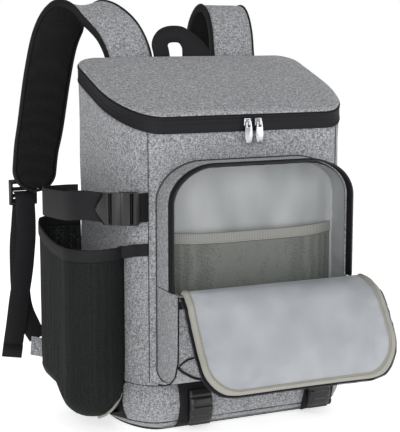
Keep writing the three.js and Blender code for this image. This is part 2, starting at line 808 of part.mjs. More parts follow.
// Plan of the compression strap, from the buckle round the lobes to the body's back corner, and of its short anchor.
const sideStrapRows = [
  { x: plugSlotX, y: front - 3.1, up: 2.2 },
  { x: plugSlotX - 0.2, y: front + 2.5, up: 2.3 },
  { x: plugSlotX - 3, y: front + 4.9, up: 2.8 },
  { x: lobeX - 7, y: front + 7.1, up: 4.5 },
  { x: lobeX - 18, y: front + 15.5, up: 5.5 },
  { x: lobeX - 26.5, y: front + 27.5, up: 4.5 },
  { x: lobeX - 31, y: lobeFrontY - 2, up: 2 },
  { x: lobeX - 32, y: lobeFrontY + 24, up: -0.5 },
  { x: lobeX - 32, y: lobeBackY - 26, up: -3 },
  { x: lobeX - 31, y: lobeBackY + 2, up: -5 },
  { x: lobeX - 24, y: back - 26.5, up: -6 },
  { x: lobeX - 8.5, y: back - 16, up: -7 },
  { x: left - 14.5, y: back - 15, up: -7 },
  { x: left - 1.5, y: back - 18, up: -7 },
];
const anchorRows = [
  { x: -seamX - 0.6, y: front + 5.7 },
  { x: -seamX - 7.6, y: front + 4.3 },
  { x: socketSlotX + 4, y: front + 4.3 },
  { x: socketSlotX + 0.8, y: front + 3.6 },
  { x: socketSlotX, y: front + 1.5 },
  { x: socketSlotX, y: front - 3.1 },
];

function buildSideStrap() {
  const up = point(0, 0, 1);
  const path = smoothPath(
    sideStrapRows.map((row) => point(row.x, row.y, sideStrapZ + row.up)),
    44,
  );
  addPiece("side_strap", band(path, path.map(() => up), sideStrapWidth, sideStrapThickness), blackWeb);
  const anchor = smoothPath(anchorRows.map((row) => point(row.x, row.y, sideStrapZ)), 12);
  addPiece("side_strap_anchor", band(anchor, anchor.map(() => up), sideStrapWidth, sideStrapThickness), blackWeb);

  const half = sideBuckleHeight / 2;
  const y = front - 0.5;
  const leanAt = (x) => sideStrapZ + (buckleRight - x) * sideBuckleLean;
  const place = (outline) =>
    loft([
      outline.map(([x, z]) => point(x, y + sideBuckleThickness / 2, leanAt(x) + z)),
      outline.map(([x, z]) => point(x, y - sideBuckleThickness / 2, leanAt(x) + z)),
    ]);
  const slotAt = (x) =>
    boxBetween(
      point(x - buckleSlotWidth / 2, y - 9, leanAt(x) - half + sideBuckleRail),
      point(x + buckleSlotWidth / 2, y + 9, leanAt(x) + half - sideBuckleRail),
    );
  const socket = place([
    [buckleJoint, -half],
    [buckleRight - 2, -half],
    [buckleRight, -half + 3],
    [buckleRight, half - 3],
    [buckleRight - 2, half],
    [buckleJoint, half],
  ]);
  addPiece("side_buckle_socket", fromManifold(cut(toManifold(socket), slotAt(socketSlotX))), blackPlastic);
  const plugRight = buckleJoint - clearance;
  const plug = place([
    [plugRight, -half + 1],
    [plugRight, half - 1],
    [buckleJoint - sidePlugShoulder, half - 1],
    [buckleJoint - sidePlugLength + 2, 5],
    [buckleJoint - sidePlugLength, 0],
    [buckleJoint - sidePlugLength + 2, -5],
    [buckleJoint - sidePlugShoulder, -half + 1],
  ]);
  addPiece("side_buckle_plug", fromManifold(cut(toManifold(plug), slotAt(plugSlotX))), blackPlastic);
}

// Centre line of the left and right shoulder strap: across in shares of the body's half width, out behind the back in
// shares of the reach, up from the back rim in shares of the rise, and how far across turns away from the X axis.
const leftStrapRows = [
  { across: -0.483, out: 0.086, up: -0.11, tilt: 0 },
  { across: -0.486, out: 0.156, up: 0.268, tilt: 0 },
  { across: -0.549, out: 0.306, up: 0.612, tilt: 0 },
  { across: -0.66, out: 0.531, up: 0.851, tilt: 0 },
  { across: -0.775, out: 0.731, up: 0.929, tilt: 0.04 },
  { across: -0.889, out: 0.906, up: 0.829, tilt: 0 },
  { across: -0.978, out: 0.994, up: 0.523, tilt: -0.08 },
  { across: -1.057, out: 0.969, up: -0.021, tilt: -0.15 },
  { across: -1.143, out: 0.869, up: -0.744, tilt: -0.15 },
  { across: -1.19, out: 0.819, up: -1.077, tilt: -0.15 },
  { across: -1.219, out: 0.769, up: -1.399, tilt: -0.15 },
];
const rightStrapRows = [
  { across: 0.476, out: 0.086, up: -0.11, tilt: 0 },
  { across: 0.473, out: 0.169, up: 0.268, tilt: 0 },
  { across: 0.495, out: 0.331, up: 0.612, tilt: 0 },
  { across: 0.508, out: 0.531, up: 0.856, tilt: 0 },
  { across: 0.502, out: 0.731, up: 0.94, tilt: 0 },
  { across: 0.47, out: 0.906, up: 0.845, tilt: 0 },
  { across: 0.438, out: 0.994, up: 0.534, tilt: 0 },
  { across: 0.483, out: 0.969, up: 0.112, tilt: 0.1 },
  { across: 0.622, out: 0.881, up: -0.688, tilt: 0.2 },
  { across: 0.714, out: 0.819, up: -1.077, tilt: 0.15 },
  { across: 0.743, out: 0.769, up: -1.399, tilt: 0.15 },
];
const strapSpot = (row) =>
  point(row.across * right, back + row.out * strapReach, backRim + row.up * strapRise);
const strapTaper = (t) => mix(1, padTaper, smooth((t - 0.7) / 0.3));

// Frames along a shoulder strap: centre, direction, across, and out on the side away from the bag.
function strapFrames(rows, steps) {
  const path = smoothPath(rows.map(strapSpot), steps);
  const tilts = smoothPath(rows.map((row) => point(row.tilt, 0, strapSpot(row).z)), steps);
  return path.map((p, i) => {
    const along = path[Math.min(i + 1, steps)].clone().sub(path[Math.max(i - 1, 0)]).normalize();
    const across = point(1, 0, tilts[i].x);
    across.addScaledVector(along, -across.dot(along)).normalize();
    const out = across.clone().cross(along).normalize();
    return { p, along, across, out };
  });
}

function padSlice(frame, half, low, high) {
  const place = (s, t) => frame.p.clone().addScaledVector(frame.across, s).addScaledVector(frame.out, t);
  const round = Math.min(2, (high - low) / 3);
  return [
    place(-half, low),
    place(half, low),
    place(half, high - round),
    place(half - 2 * round, high),
    place(-half + 2 * round, high),
    place(-half, high - round),
  ];
}

function buildShoulderStrap(side, rows, lock) {
  const steps = 32;
  const frames = strapFrames(rows, steps);
  const half = (i) => (padWidth / 2) * strapTaper(i / steps);
  const meshSide = 4;
  const end = frames[steps];
  const slices = frames.map((f, i) => ({ ...f, half: half(i) }));
  for (const degrees of [30, 54, 75]) {
    const angle = THREE.MathUtils.degToRad(degrees);
    const p = end.p.clone().addScaledVector(end.along, padRound * Math.sin(angle));
    slices.push({ ...end, p, half: half(steps) * Math.cos(angle) });
  }
  addPiece(
    `shoulder_strap_${side}`,
    loft(slices.map((f) => padSlice(f, f.half, -padThickness / 2 + meshSide, padThickness / 2))),
    heather,
  );
  const turned = slices.map((f) => ({ ...f, out: f.out.clone().negate() }));
  addPiece(
    `strap_mesh_${side}`,
    loft(turned.map((f) => padSlice(f, f.half, padThickness / 2 - meshSide + clearance, padThickness / 2))),
    blackMesh,
  );

  // The binding runs down one edge, round the lower end and up the other edge.
  const bindingSlice = (f, s, t, push) => {
    const centre = f.p.clone().addScaledVector(f.across, s).addScaledVector(f.along, push);
    const outward = t.clone();
    const place = (a, b) =>
      centre.clone().addScaledVector(outward, a * padBinding).addScaledVector(f.out, (b * (padThickness + 1)) / 2);
    return [place(0, -1), place(1, -1), place(1, 1), place(0, 1)];
  };
  const rim = half(steps) + 2 * clearance;
  const down = frames.map((f, i) => bindingSlice(f, -half(i) - 2 * clearance, f.across.clone().negate(), 0));
  const up = frames.map((f, i) => bindingSlice(f, half(i) + 2 * clearance, f.across, 0)).reverse();
  const turn = [];
  for (let i = 1; i < 10; i += 1) {
    const angle = Math.PI * (i / 10);
    const outward = end.across.clone().multiplyScalar(-Math.cos(angle)).addScaledVector(end.along, Math.sin(angle));
    turn.push(bindingSlice(end, -Math.cos(angle) * rim, outward.normalize(), Math.sin(angle) * (padRound + 2 * clearance)));
  }
  addPiece(`strap_binding_${side}`, loft([...down, ...turn, ...up]), blackWeb);

  buildLockAndWebs(side, lock);
}

// Ladder lock at the strap's end, the loose tail, and the run to the bag's lower back corner.
const leftLock = {
  centre: point(left - 48.5, back + lockOut, lockZ),
  tail: [
    [left - 48.5, back + lockOut + 1.5, lockZ + 0.4],
    [left - 48.5, back + lockOut - 3.5, lockZ - 0.4],
    [left - 48, back + lockOut - 7.6, lockZ - 11],
    [left - 48.5, back + 58, lockZ - 50],
    [left - 54, back + 49, lockZ - 82],
    [left - 59.5, back + 41, 163],
    [left - 68, back + 32.5, 131],
    [left - 75, back + 25, 100],
    [left - 81, back + 19.5, 75],
    [left - 84, back + 18, 59],
  ],
  anchor: [
    [left - 48.5, back + lockOut - 0.9, lockZ - lockSlotPitch],
    [left - 48.5, back + lockOut + 4, lockZ - lockSlotPitch - 2],
    [left - 49, back + lockOut + 4.5, lockZ - 20],
    [left - 52.5, back + 69.5, lockZ - 43],
    [left - 58.5, back + 59.5, lockZ - 80],
    [left - 59.5, back + 49.5, baseSeamHeight + 68],
    [left - 53.5, back + 33.5, baseSeamHeight + 39],
    [left - 46.5, back + 21.4, baseSeamHeight + 22],
  ],
  tab: [
    [left - 56.5, back + 17.5, baseSeamHeight + 26],
    [left - 59.5, back + 14.5, baseSeamHeight + 2],
    [left + 9.5, back + 3.6, baseSeamHeight - 16],
    [left + 9.5, back - 1.9, baseSeamHeight + 10],
  ],
};
const rightLock = {
  centre: point(right - 35.5, back + lockOut, lockZ),
  tail: [
    [right - 35.5, back + lockOut + 1.5, lockZ + 0.4],
    [right - 35.5, back + lockOut - 3.5, lockZ - 0.4],
    [right - 35.5, back + lockOut - 7.4, lockZ - 11],
    [right - 37, back + 55.5, lockZ - 53],
    [right - 41.5, back + 40.5, 163],
    [right - 46.5, back + 27, 125],
    [right - 49.5, back + 18, 92],
    [right - 50.5, back + 14.5, 72],
    [right - 50.5, back + 14, 59],
  ],
  anchor: [
    [right - 35.5, back + lockOut - 0.7, lockZ - lockSlotPitch + 0.2],
    [right - 35.5, back + lockOut + 4, lockZ - lockSlotPitch - 2],
    [right - 33.5, back + lockOut + 4.8, lockZ - 20],
    [right - 31.5, back + 69.5, lockZ - 43],
    [right - 27.5, back + 59.5, lockZ - 80],
    [right - 23.5, back + 49.5, baseSeamHeight + 68],
    [right - 19.5, back + 33.5, baseSeamHeight + 39],
    [right - 17.5, back + 19.2, baseSeamHeight + 22],
  ],
  tab: [
    [right - 9.5, back + 17.5, baseSeamHeight + 26],
    [right - 7.5, back + 14.5, baseSeamHeight + 2],
    [right - 29.5, back + 7.8, baseSeamHeight - 16],
    [right - 29.5, back + 2.9, baseSeamHeight + 10],
  ],
};

function buildLockAndWebs(side, lock) {
  const { centre } = lock;
  const frame = boxBetween(
    point(centre.x - lockWidth / 2, centre.y - lockThickness / 2, centre.z - lockHeight / 2),
    point(centre.x + lockWidth / 2, centre.y + lockThickness / 2, centre.z + lockHeight / 2),
  );
  const slotAt = (z) =>
    boxBetween(
      point(centre.x - lockWidth / 2 + buckleRail, centre.y - 9, centre.z + z - buckleSlotWidth / 2),
      point(centre.x + lockWidth / 2 - buckleRail, centre.y + 9, centre.z + z + buckleSlotWidth / 2),
    );
  addPiece(`ladder_lock_${side}`, fromManifold(cut(toManifold(frame), slotAt(lockSlotPitch), slotAt(0), slotAt(-lockSlotPitch))), blackPlastic);
  const across = point(1, 0, 0);
  for (const [name, rows] of [["strap_tail", lock.tail], ["strap_anchor_web", lock.anchor]]) {
    const path = smoothPath(rows.map(([x, y, z]) => point(x, y, z)), 24);
    addPiece(`${name}_${side}`, band(path, path.map(() => across), webWidth, webThickness), blackWeb);
  }
  const flat = lock.tab.map(([x, y, z]) => point(x, y, z));
  const normal = flat[1].clone().sub(flat[0]).cross(flat[2].clone().sub(flat[0])).normalize().multiplyScalar(tabThickness / 2);
  addPiece(
    `strap_tab_${side}`,
    loft([flat.map((p) => p.clone().sub(normal)), flat.map((p) => p.clone().add(normal))]),
    heather,
  );
}

// Carry handle: one length of webbing that leans back over the lid's back edge.
const handleRows = [
  { x: -31.5, out: 3.7, up: 2.1 },
  { x: -32, out: 3.6, up: 15 },
  { x: -34, out: 3.8, up: 29 },
  { x: -35.5, out: 5, up: 39.5 },
  { x: -29, out: 7.5, up: 48.5 },
  { x: -18, out: 9.5, up: 52.2 },
  { x: -3, out: 10.5, up: 51 },
  { x: 7.5, out: 9.5, up: 43 },
  { x: 13.5, out: 6.5, up: 33 },
  { x: 17.4, out: 4.4, up: 20 },
  { x: 19, out: 3.9, up: 2.1 },
];
function buildHandle() {
  const path = smoothPath(handleRows.map((row) => point(row.x, back + row.out, backRim + row.up)), 36);
  const rings = path.map((p, i) => {
    const along = path[Math.min(i + 1, 36)].clone().sub(path[Math.max(i - 1, 0)]).normalize();
    const out = point(0, -1, 0.15);
    out.addScaledVector(along, -out.dot(along)).normalize();
    const aside = along.clone().cross(out).normalize();
    const width = mix(handleWidth, handleFootWidth, smooth((i / 36 - 0.62) / 0.3));
    const place = (s, t) => p.clone().addScaledVector(aside, (s * width) / 2).addScaledVector(out, (t * handleThickness) / 2);
    return [place(-1, -1), place(1, -1), place(1, 1), place(-1, 1)];
  });
  addPiece("carry_handle", loft(rings), blackWeb);
}

// Straps over the puffed front of the base, each with a ribbed buckle.
function buildBottomStraps() {
  const heights = [3.2, 6, 12, 20, 28, 35, 44, 52, 58.5];
  const shareAt = (z) => {
    const up = THREE.MathUtils.clamp((z - bottomSeamHeight) / (baseSeamHeight - bottomSeamHeight), 0, 1);
    const k = Math.min(Math.floor(up * 4), 3);
    return mix(puffRows[k].out, puffRows[k + 1].out, up * 4 - k);
  };
  for (const [side, x, sign] of [["left", bottomStrapLeft, 1], ["right", bottomStrapRight, -1]]) {
    const gap = clearance + bottomStrapThickness / 2 + 0.8;
    const path = heights.map((z) => {
      const tuck = 0.09 * Math.max(bottomSeamHeight - z, 0) ** 2;
      const splay = bottomStrapSplay * Math.max(1 - z / bottomSeamHeight, 0);
      return point(x - sign * splay, front - gap - shareAt(z) * basePuff + tuck, z);
    });
    const across = path.map(() => point(1, 0, 0));
    addPiece(`bottom_strap_${side}`, band(path, across, bottomStrapWidth, bottomStrapThickness), blackWeb);

    const faceY = front - basePuff - gap - bottomStrapThickness / 2 - 2 * clearance;
    const centre = point(x + sign * bottomBuckleOffset, faceY - bottomBuckleThickness / 2, bottomBuckleZ);
    const rows = [];
    const ribs = bottomBuckleRibs * 2 + 1;
    for (let i = 0; i < ribs; i += 1) {
      const thick = i % 2 ? bottomBuckleThickness - 1.6 : bottomBuckleThickness;
      rows.push([i / ribs, thick], [(i + 1) / ribs, thick]);
    }
    const rings = rows.map(([t, thick], i) => {
      const z = centre.z + (t - 0.5) * bottomBuckleHeight + (i % 2 ? -0.2 : 0.2);
      const w = bottomBuckleWidth / 2;
      const near = centre.y + bottomBuckleThickness / 2;
      return [point(centre.x - w, near, z), point(centre.x + w, near, z), point(centre.x + w, near - thick, z), point(centre.x - w, near - thick, z)];
    });
    addPiece(`bottom_buckle_${side}`, loft(rings), blackPlastic);
  }
}

buildBody();
buildLid();
buildZipPulls();
buildPocket();
buildFlap();
buildSidePocket();
buildSideStrap();
buildShoulderStrap("left", leftStrapRows, leftLock);
buildShoulderStrap("right", rightStrapRows, rightLock);
buildHandle();
buildBottomStraps();

export default model;
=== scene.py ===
# %% [markdown]
# A cooler backpack stands on its base with its front pocket open. The imported CAD model is the frame: it
# fixes every size and place, in metres, with +Z up and the front facing -Y. This lesson dresses that frame
# in cloth, webbing, mesh, plastic and metal. It starts by loading the frame.

import json
import math

import bpy
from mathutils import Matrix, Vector, noise

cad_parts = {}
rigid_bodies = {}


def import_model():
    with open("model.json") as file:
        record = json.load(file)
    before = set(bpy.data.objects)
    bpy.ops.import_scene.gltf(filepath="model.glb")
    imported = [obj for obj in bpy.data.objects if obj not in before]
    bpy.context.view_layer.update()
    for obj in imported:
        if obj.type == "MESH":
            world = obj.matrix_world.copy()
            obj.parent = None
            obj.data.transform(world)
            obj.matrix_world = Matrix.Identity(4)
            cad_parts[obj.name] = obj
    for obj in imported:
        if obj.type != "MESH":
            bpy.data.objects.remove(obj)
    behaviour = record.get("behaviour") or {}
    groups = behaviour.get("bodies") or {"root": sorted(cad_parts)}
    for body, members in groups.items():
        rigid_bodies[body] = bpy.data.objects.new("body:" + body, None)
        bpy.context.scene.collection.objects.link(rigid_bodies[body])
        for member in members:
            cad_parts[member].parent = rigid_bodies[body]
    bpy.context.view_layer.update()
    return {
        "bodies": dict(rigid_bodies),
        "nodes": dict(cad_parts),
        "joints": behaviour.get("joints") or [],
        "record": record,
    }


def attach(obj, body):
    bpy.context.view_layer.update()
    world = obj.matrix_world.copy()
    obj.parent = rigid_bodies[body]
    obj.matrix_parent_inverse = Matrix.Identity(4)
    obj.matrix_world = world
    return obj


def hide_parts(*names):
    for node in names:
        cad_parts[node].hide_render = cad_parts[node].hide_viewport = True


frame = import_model()

MM = 0.001

# %% [markdown]
# The photograph was taken a little above the bag and from its left front. A long lens of about 103 mm on a
# 36 mm sensor, placed 1.6 m away, gives the same perspective, so the verticals stay nearly upright and the
# lid shows its whole slope.

# %% Set the camera
AZIMUTH, PITCH = math.radians(-24.6), math.radians(9.0)
look_back = Vector(
    (math.sin(AZIMUTH) * math.cos(PITCH), -math.cos(AZIMUTH) * math.cos(PITCH), math.sin(PITCH))
)
lens = bpy.data.cameras.new("photo_camera")
lens.sensor_fit = "AUTO"
lens.sensor_width = 36
lens.lens = 102.85
lens.clip_end = 50
camera = bpy.data.objects.new("photo_camera", lens)
bpy.context.collection.objects.link(camera)
camera.location = (-0.6674, -1.4116, 0.4918)
camera.rotation_euler = (-look_back).to_track_quat("-Z", "Y").to_euler()
bpy.context.scene.camera = camera

# %% [markdown]
# Product photographs of bags are taken on a white, evenly lit table. The floor here gives off a little
# white light itself, so that only the contact shadow darkens it. The world is white where the camera sees
# it and dimmer as a light, and the lamps stand low in front, which keeps the sloping lid a little darker
# than the walls.

# %% Add the floor and the lamps
def add_lamp(name, place, aim, size, power):
    data = bpy.data.lights.new(name, "AREA")
    data.size = size
    data.energy = power
    lamp = bpy.data.objects.new(name, data)
    bpy.context.collection.objects.link(lamp)
    lamp.location = place
    lamp.rotation_euler = (Vector(aim) - Vector(place)).to_track_quat("-Z", "Y").to_euler()
    return lamp


def linear(hex_colour):
    """An sRGB hex colour as the linear RGBA that a shader socket takes."""
    parts = [int(hex_colour[i : i + 2], 16) / 255 for i in (1, 3, 5)]
    return tuple([p / 12.92 if p <= 0.04045 else ((p + 0.055) / 1.055) ** 2.4 for p in parts] + [1.0])


def add_node(material, kind, inputs=None, **settings):
    """Adds a node. An input is a value, or an output socket of another node to link from."""
    tree = material.node_tree
    node = tree.nodes.new(kind)
    for key, value in settings.items():
        setattr(node, key, value)
    for key, value in (inputs or {}).items():
        if isinstance(value, bpy.types.NodeSocket):
            tree.links.new(value, node.inputs[key])
        else:
            node.inputs[key].default_value = value
    return node


def new_material(name):
    material = bpy.data.materials.new(name)
    material.use_nodes = True
    material.node_tree.nodes.clear()
    return material


def close_material(material, inputs):
    shader = add_node(material, "ShaderNodeBsdfPrincipled", inputs)
    add_node(material, "ShaderNodeOutputMaterial", {"Surface": shader.outputs[0]})
    return material


def colour_ramp(material, value, *stops):
    """A value turned into colour. Each stop is a position from 0 to 1 and a hex colour."""
    ramp = add_node(material, "ShaderNodeValToRGB", {"Fac": value})
    elements = ramp.color_ramp.elements
    for i, (position, colour) in ((0, stops[0]), (1, stops[-1])):
        elements[i].position = position
        elements[i].color = linear(colour)
    for position, colour in stops[1:-1]:
        elements.new(position).color = linear(colour)
    return ramp.outputs["Color"]


def bump_of(material, height, strength, distance):
    settings = {"Height": height, "Strength": strength, "Distance": distance}
    return add_node(material, "ShaderNodeBump", settings).outputs[0]


bpy.ops.object.select_all(action="DESELECT")
bpy.ops.mesh.primitive_plane_add(size=12, location=(0, 2, 0))
floor = bpy.context.object
floor.name = "floor"
paper = new_material("white_paper_sweep")
matt_white = {"Base Color": linear("#fafafa"), "Roughness": 0.8, "Specular IOR Level": 0.1}
close_material(paper, {**matt_white, "Emission Color": (1, 1, 1, 1), "Emission Strength": 0.56})
floor.data.materials.append(paper)

add_lamp("key_lamp", (-1.5, -2.4, 1.1), (0, 0, 0.25), 1.6, 46)
add_lamp("fill_lamp", (1.7, -2.4, 0.9), (0, 0, 0.2), 1.8, 26)
add_lamp("back_lamp", (0.4, 1.8, 1.6), (0, 0, 0.3), 1.6, 8)
world = bpy.data.worlds.new("white_room")
bpy.context.scene.world = world
world.use_nodes = True
seen = add_node(world, "ShaderNodeLightPath").outputs["Is Camera Ray"]
level = add_node(world, "ShaderNodeMapRange", {"Value": seen, "To Min": 0.48, "To Max": 1.0}).outputs[0]
world.node_tree.nodes["Background"].inputs["Color"].default_value = (1, 1, 1, 1)
world.node_tree.links.new(level, world.node_tree.nodes["Background"].inputs["Strength"])
bpy.context.scene.view_settings.view_transform = "Standard"

# %% [markdown]
# The outer cloth is a heather polyester: light and dark grey yarns are mixed before weaving, so it has
# short flecks along the warp and the weft. Real yarns are about 0.4 mm; the flecks drawn here are about 1
# mm by 3 mm, as coarse as they need to be to show. Two stretched noises cross each other, one for each yarn
# direction. Woven polyester is matt, with a roughness near 0.9 and a faint sheen from loose fibres.

# %% Heather polyester cloth
def yarn_noise(material, coordinates, stretch, scale, detail=2.0):
    mapping = add_node(material, "ShaderNodeMapping", {"Vector": coordinates, "Scale": stretch})
    return add_node(
        material,
        "ShaderNodeTexNoise",
        {"Vector": mapping.outputs[0], "Scale": scale, "Detail": detail, "Roughness": 0.6},
    ).outputs["Fac"]


def heather_cloth(name, dark, middle, light):
    material = new_material(name)
    place = add_node(material, "ShaderNodeTexCoord").outputs["Object"]
    upright = yarn_noise(material, place, (1, 1, 0.4), 760, 4.0)
    level = yarn_noise(material, place, (0.4, 0.4, 1), 760, 4.0)
    both = add_node(material, "ShaderNodeMath", {0: upright, 1: level}, operation="ADD").outputs[0]
    half = add_node(material, "ShaderNodeMath", {0: both, 1: 0.5}, operation="MULTIPLY").outputs[0]
    colour = colour_ramp(material, half, (0.41, dark), (0.5, middle), (0.6, light))
    bump = bump_of(material, half, 0.3, 0.0009)
    return close_material(
        material, {"Base Color": colour, "Roughness": 0.9, "Sheen Weight": 0.15, "Normal": bump}
    )


heather_polyester = heather_cloth("heather_woven_polyester", "#5b5c5f", "#838487", "#a9aaad")

# %% [markdown]
# Webbing, zip tape and binding are black polyester. Webbing is woven with ribs across its length, here one
# rib each 1.6 mm. The UV map of each strap is in metres, across and along, so the ribs keep their real size
# and follow every bend.

# %% Black webbing, tape and binding
RIB_DEPTH = 0.0005


def ribbed_tape(name, colour, lit, rib_mm, roughness, ribs="Y"):
    material = new_material(name)
    uv = add_node(material, "ShaderNodeUVMap").outputs[0]
    along = add_node(
        material,
        "ShaderNodeTexWave",
        {"Vector": uv, "Scale": 0.314 / (rib_mm * MM), "Distortion": 0.0, "Detail": 0.0},
        bands_direction=ribs,
    ).outputs["Fac"]
    fuzz = add_node(
        material, "ShaderNodeTexNoise", {"Vector": uv, "Scale": 1500.0, "Detail": 2.0}
    ).outputs["Fac"]
    mixed = add_node(material, "ShaderNodeMath", {0: along, 1: fuzz}, operation="MULTIPLY").outputs[0]
    # The rib crests are painted lighter and the grooves darker: painted highlight and painted shade on the
    # ribs, mixed with fibre fuzz.
    shade = colour_ramp(material, mixed, (0.0, colour), (0.7, lit))
    bump = bump_of(material, mixed, 0.5, RIB_DEPTH)
    inputs = {"Base Color": shade, "Roughness": roughness, "Specular IOR Level": 0.25, "Normal": bump}
    return close_material(material, inputs)


polyester_webbing = ribbed_tape("black_polyester_webbing", "#08080a", "#1b1b1f", 1.8, 0.7)
zip_tape_cloth = ribbed_tape("black_zip_tape", "#09090e", "#14141a", 2.4, 0.65)
binding_tape = ribbed_tape("black_binding_tape", "#070709", "#131317", 1.4, 0.7)
elastic_black = ribbed_tape("black_covered_elastic", "#101012", "#1f1f21", 2.2, 0.75)
elastic_grey = ribbed_tape("grey_covered_elastic", "#72726e", "#969692", 2.2, 0.75, ribs="X")
binding_light = ribbed_tape("light_grey_binding_tape", "#86867f", "#a3a199", 2.0, 0.6)

# %% [markdown]
# The shoulder straps are lined with air mesh, a thick black knit with round holes about 2 mm apart. The
# side pocket is a thinner black net, and the small pocket inside is a fine grey net. Voronoi cells give the
# holes: deep dimples on the air mesh, and see-through holes on the nets. Each hole is drawn darker than the
# yarn, a painted shade for its depth.

# %% Knitted meshes
def net_cloth(name, yarn, hole_shade, cell_mm, hole_alpha):
    material = new_material(name)
    place = add_node(material, "ShaderNodeTexCoord").outputs["Object"]
    cells = add_node(
        material,
        "ShaderNodeTexVoronoi",
        {"Vector": place, "Scale": 1 / (cell_mm * MM), "Randomness": 0.35},
    ).outputs["Distance"]
    inputs = {
        # The hole colour is darker than the yarn: painted shade inside the holes.
        "Base Color": colour_ramp(material, cells, (0.30, hole_shade), (0.48, yarn)),
        "Roughness": 0.8,
        "Specular IOR Level": 0.2,
        "Normal": bump_of(material, cells, 0.6, 0.0008),
    }
    if hole_alpha < 1:
        cover = {"Value": cells, "From Min": 0.30, "From Max": 0.42, "To Min": hole_alpha, "To Max": 1.0}
        inputs["Alpha"] = add_node(material, "ShaderNodeMapRange", cover).outputs[0]
    return close_material(material, inputs)


air_mesh = net_cloth("black_air_mesh_knit", "#131315", "#050506", 2.6, 1.0)
side_net = net_cloth("black_polyester_net", "#161818", "#0b0c0c", 1.9, 0.85)
inner_net = net_cloth("fine_grey_net", "#686b67", "#5a5d5a", 1.6, 0.7)

# %% [markdown]
# The lining is a light grey coated polyester, smooth and a little shiny, so it shows every fold as a soft
# light and dark band. A low, stretched noise paints such bands into its colour, as painted highlight and
# painted shade of folds.

# %% Coated lining
def coated_lining(name, dark, light):
    material = new_material(name)
    place = add_node(material, "ShaderNodeTexCoord").outputs["Object"]
    painted_fold_bands = yarn_noise(material, place, (1, 1, 0.5), 22, 1.0)
    # The colour runs from dark to light with the noise: painted shade and painted highlight of folds.
    colour = colour_ramp(material, painted_fold_bands, (0.3, dark), (0.7, light))
    creases = yarn_noise(material, place, (1, 1, 0.3), 60, 2.0)
    bump = bump_of(material, creases, 0.25, 0.004)
    return close_material(material, {"Base Color": colour, "Roughness": 0.42, "Normal": bump})


lining_flap = coated_lining("coated_lining_of_flap", "#8d9095", "#9da0a4")
# The lining inside the pocket is the same cloth drawn darker than on the flap: painted shade for the inside
# of the pocket.
pocket_lining_shaded = coated_lining("coated_lining_painted_darker_inside", "#7d8081", "#949697")

# %% [markdown]
# The buckles are moulded acetal, a dense black plastic with a satin skin. The zip sliders and pulls are a
# zinc alloy with bright nickel plate. The seams are sewn with dark thread, and the sole is a coated black
# cloth.

# %% Plastic, metal and thread
def plain_finish(name, colour, roughness, metallic=0.0, grain=0.0):
    material = new_material(name)
    place = add_node(material, "ShaderNodeTexCoord").outputs["Object"]
    texture = yarn_noise(material, place, (1, 1, 1), 1200, 1.0)
    bump = bump_of(material, texture, grain, 0.0003)
    inputs = {"Base Color": linear(colour), "Roughness": roughness, "Metallic": metallic, "Normal": bump}
    return close_material(material, inputs)


acetal = plain_finish("moulded_black_acetal", "#0b0b0d", 0.35, grain=0.2)
nickel = plain_finish("nickel_plated_zinc", "#b4b5b8", 0.26, metallic=1.0, grain=0.05)
thread = plain_finish("dark_sewing_thread", "#2a2a2d", 0.8, grain=0.3)
sole_cloth = plain_finish("black_coated_sole_cloth", "#0c0c0d", 0.7, grain=0.4)
thread_pale = plain_finish("pale_sewing_thread", "#77756d", 0.8, grain=0.3)

# %% [markdown]
# Cloth, webbing and padding are all sheets laid on a shape. A grid primitive is added, its points are moved
# on to the shape, its UV map is set to real metres, and edges that meet are merged. The same helper makes
# flat panels, closed tubes and straps, and optional modifiers give thickness and round edges.

# %% A helper that lays a grid on a shape
def select_only(obj):
    bpy.ops.object.select_all(action="DESELECT")
    obj.select_set(True)
    bpy.context.view_layer.objects.active = obj


def lay_cloth(name, columns, rows, place, size, caps=False):
    """A grid whose points go to place(across, along), both 0 to 1. size is its flat size in metres."""
    bpy.ops.object.select_all(action="DESELECT")
    bpy.ops.mesh.primitive_grid_add(x_subdivisions=columns, y_subdivisions=rows, size=1)
    obj = bpy.context.object
    obj.name = obj.data.name = name
    uv = obj.data.uv_layers.active.data
    for loop_uv in uv:
        loop_uv.uv = (loop_uv.uv[0] * size[0], loop_uv.uv[1] * size[1])
    for vertex in obj.data.vertices:
        vertex.co = place(min(max(vertex.co.x + 0.5, 0), 1), min(max(vertex.co.y + 0.5, 0), 1))
    bpy.ops.object.mode_set(mode="EDIT")
    bpy.ops.mesh.select_all(action="SELECT")
    bpy.ops.mesh.remove_doubles(threshold=0.00001)
    if caps:
        bpy.ops.mesh.select_all(action="DESELECT")
        bpy.ops.mesh.select_mode(type="EDGE")
        bpy.ops.mesh.select_non_manifold()
        bpy.ops.mesh.fill_holes(sides=0)
        bpy.ops.mesh.select_mode(type="VERT")
        bpy.ops.mesh.select_all(action="SELECT")
        bpy.ops.mesh.normals_make_consistent(inside=False)
    bpy.ops.object.mode_set(mode="OBJECT")
    bpy.ops.object.shade_smooth()
    return obj


def apply_modifier(obj, kind, **settings):
    select_only(obj)
    modifier = obj.modifiers.new(kind.lower(), kind)
    for key, value in settings.items():
        setattr(modifier, key, value)
    bpy.ops.object.modifier_apply(modifier=modifier.name)


def dress(obj, material, slot, *nodes, body="bag"):
    """The finished piece gets its finish, rides with its body and stands for its CAD nodes."""
    obj.data.materials.clear()
    obj.data.materials.append(material)
    if nodes:
        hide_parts(*nodes)
    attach(obj, body)
    return obj


def ripple(point, wave, seed=0.0):
    """A smooth value from -1 to 1 at a point, with waves of that length in metres."""
    return noise.noise(Vector(point) / wave + Vector((seed, seed * 1.7, seed * 0.6)))


def between(a, b, share):
    return a + (b - a) * share


def ease(share):
    share = min(max(share, 0.0), 1.0)
    return share * share * (3 - 2 * share)


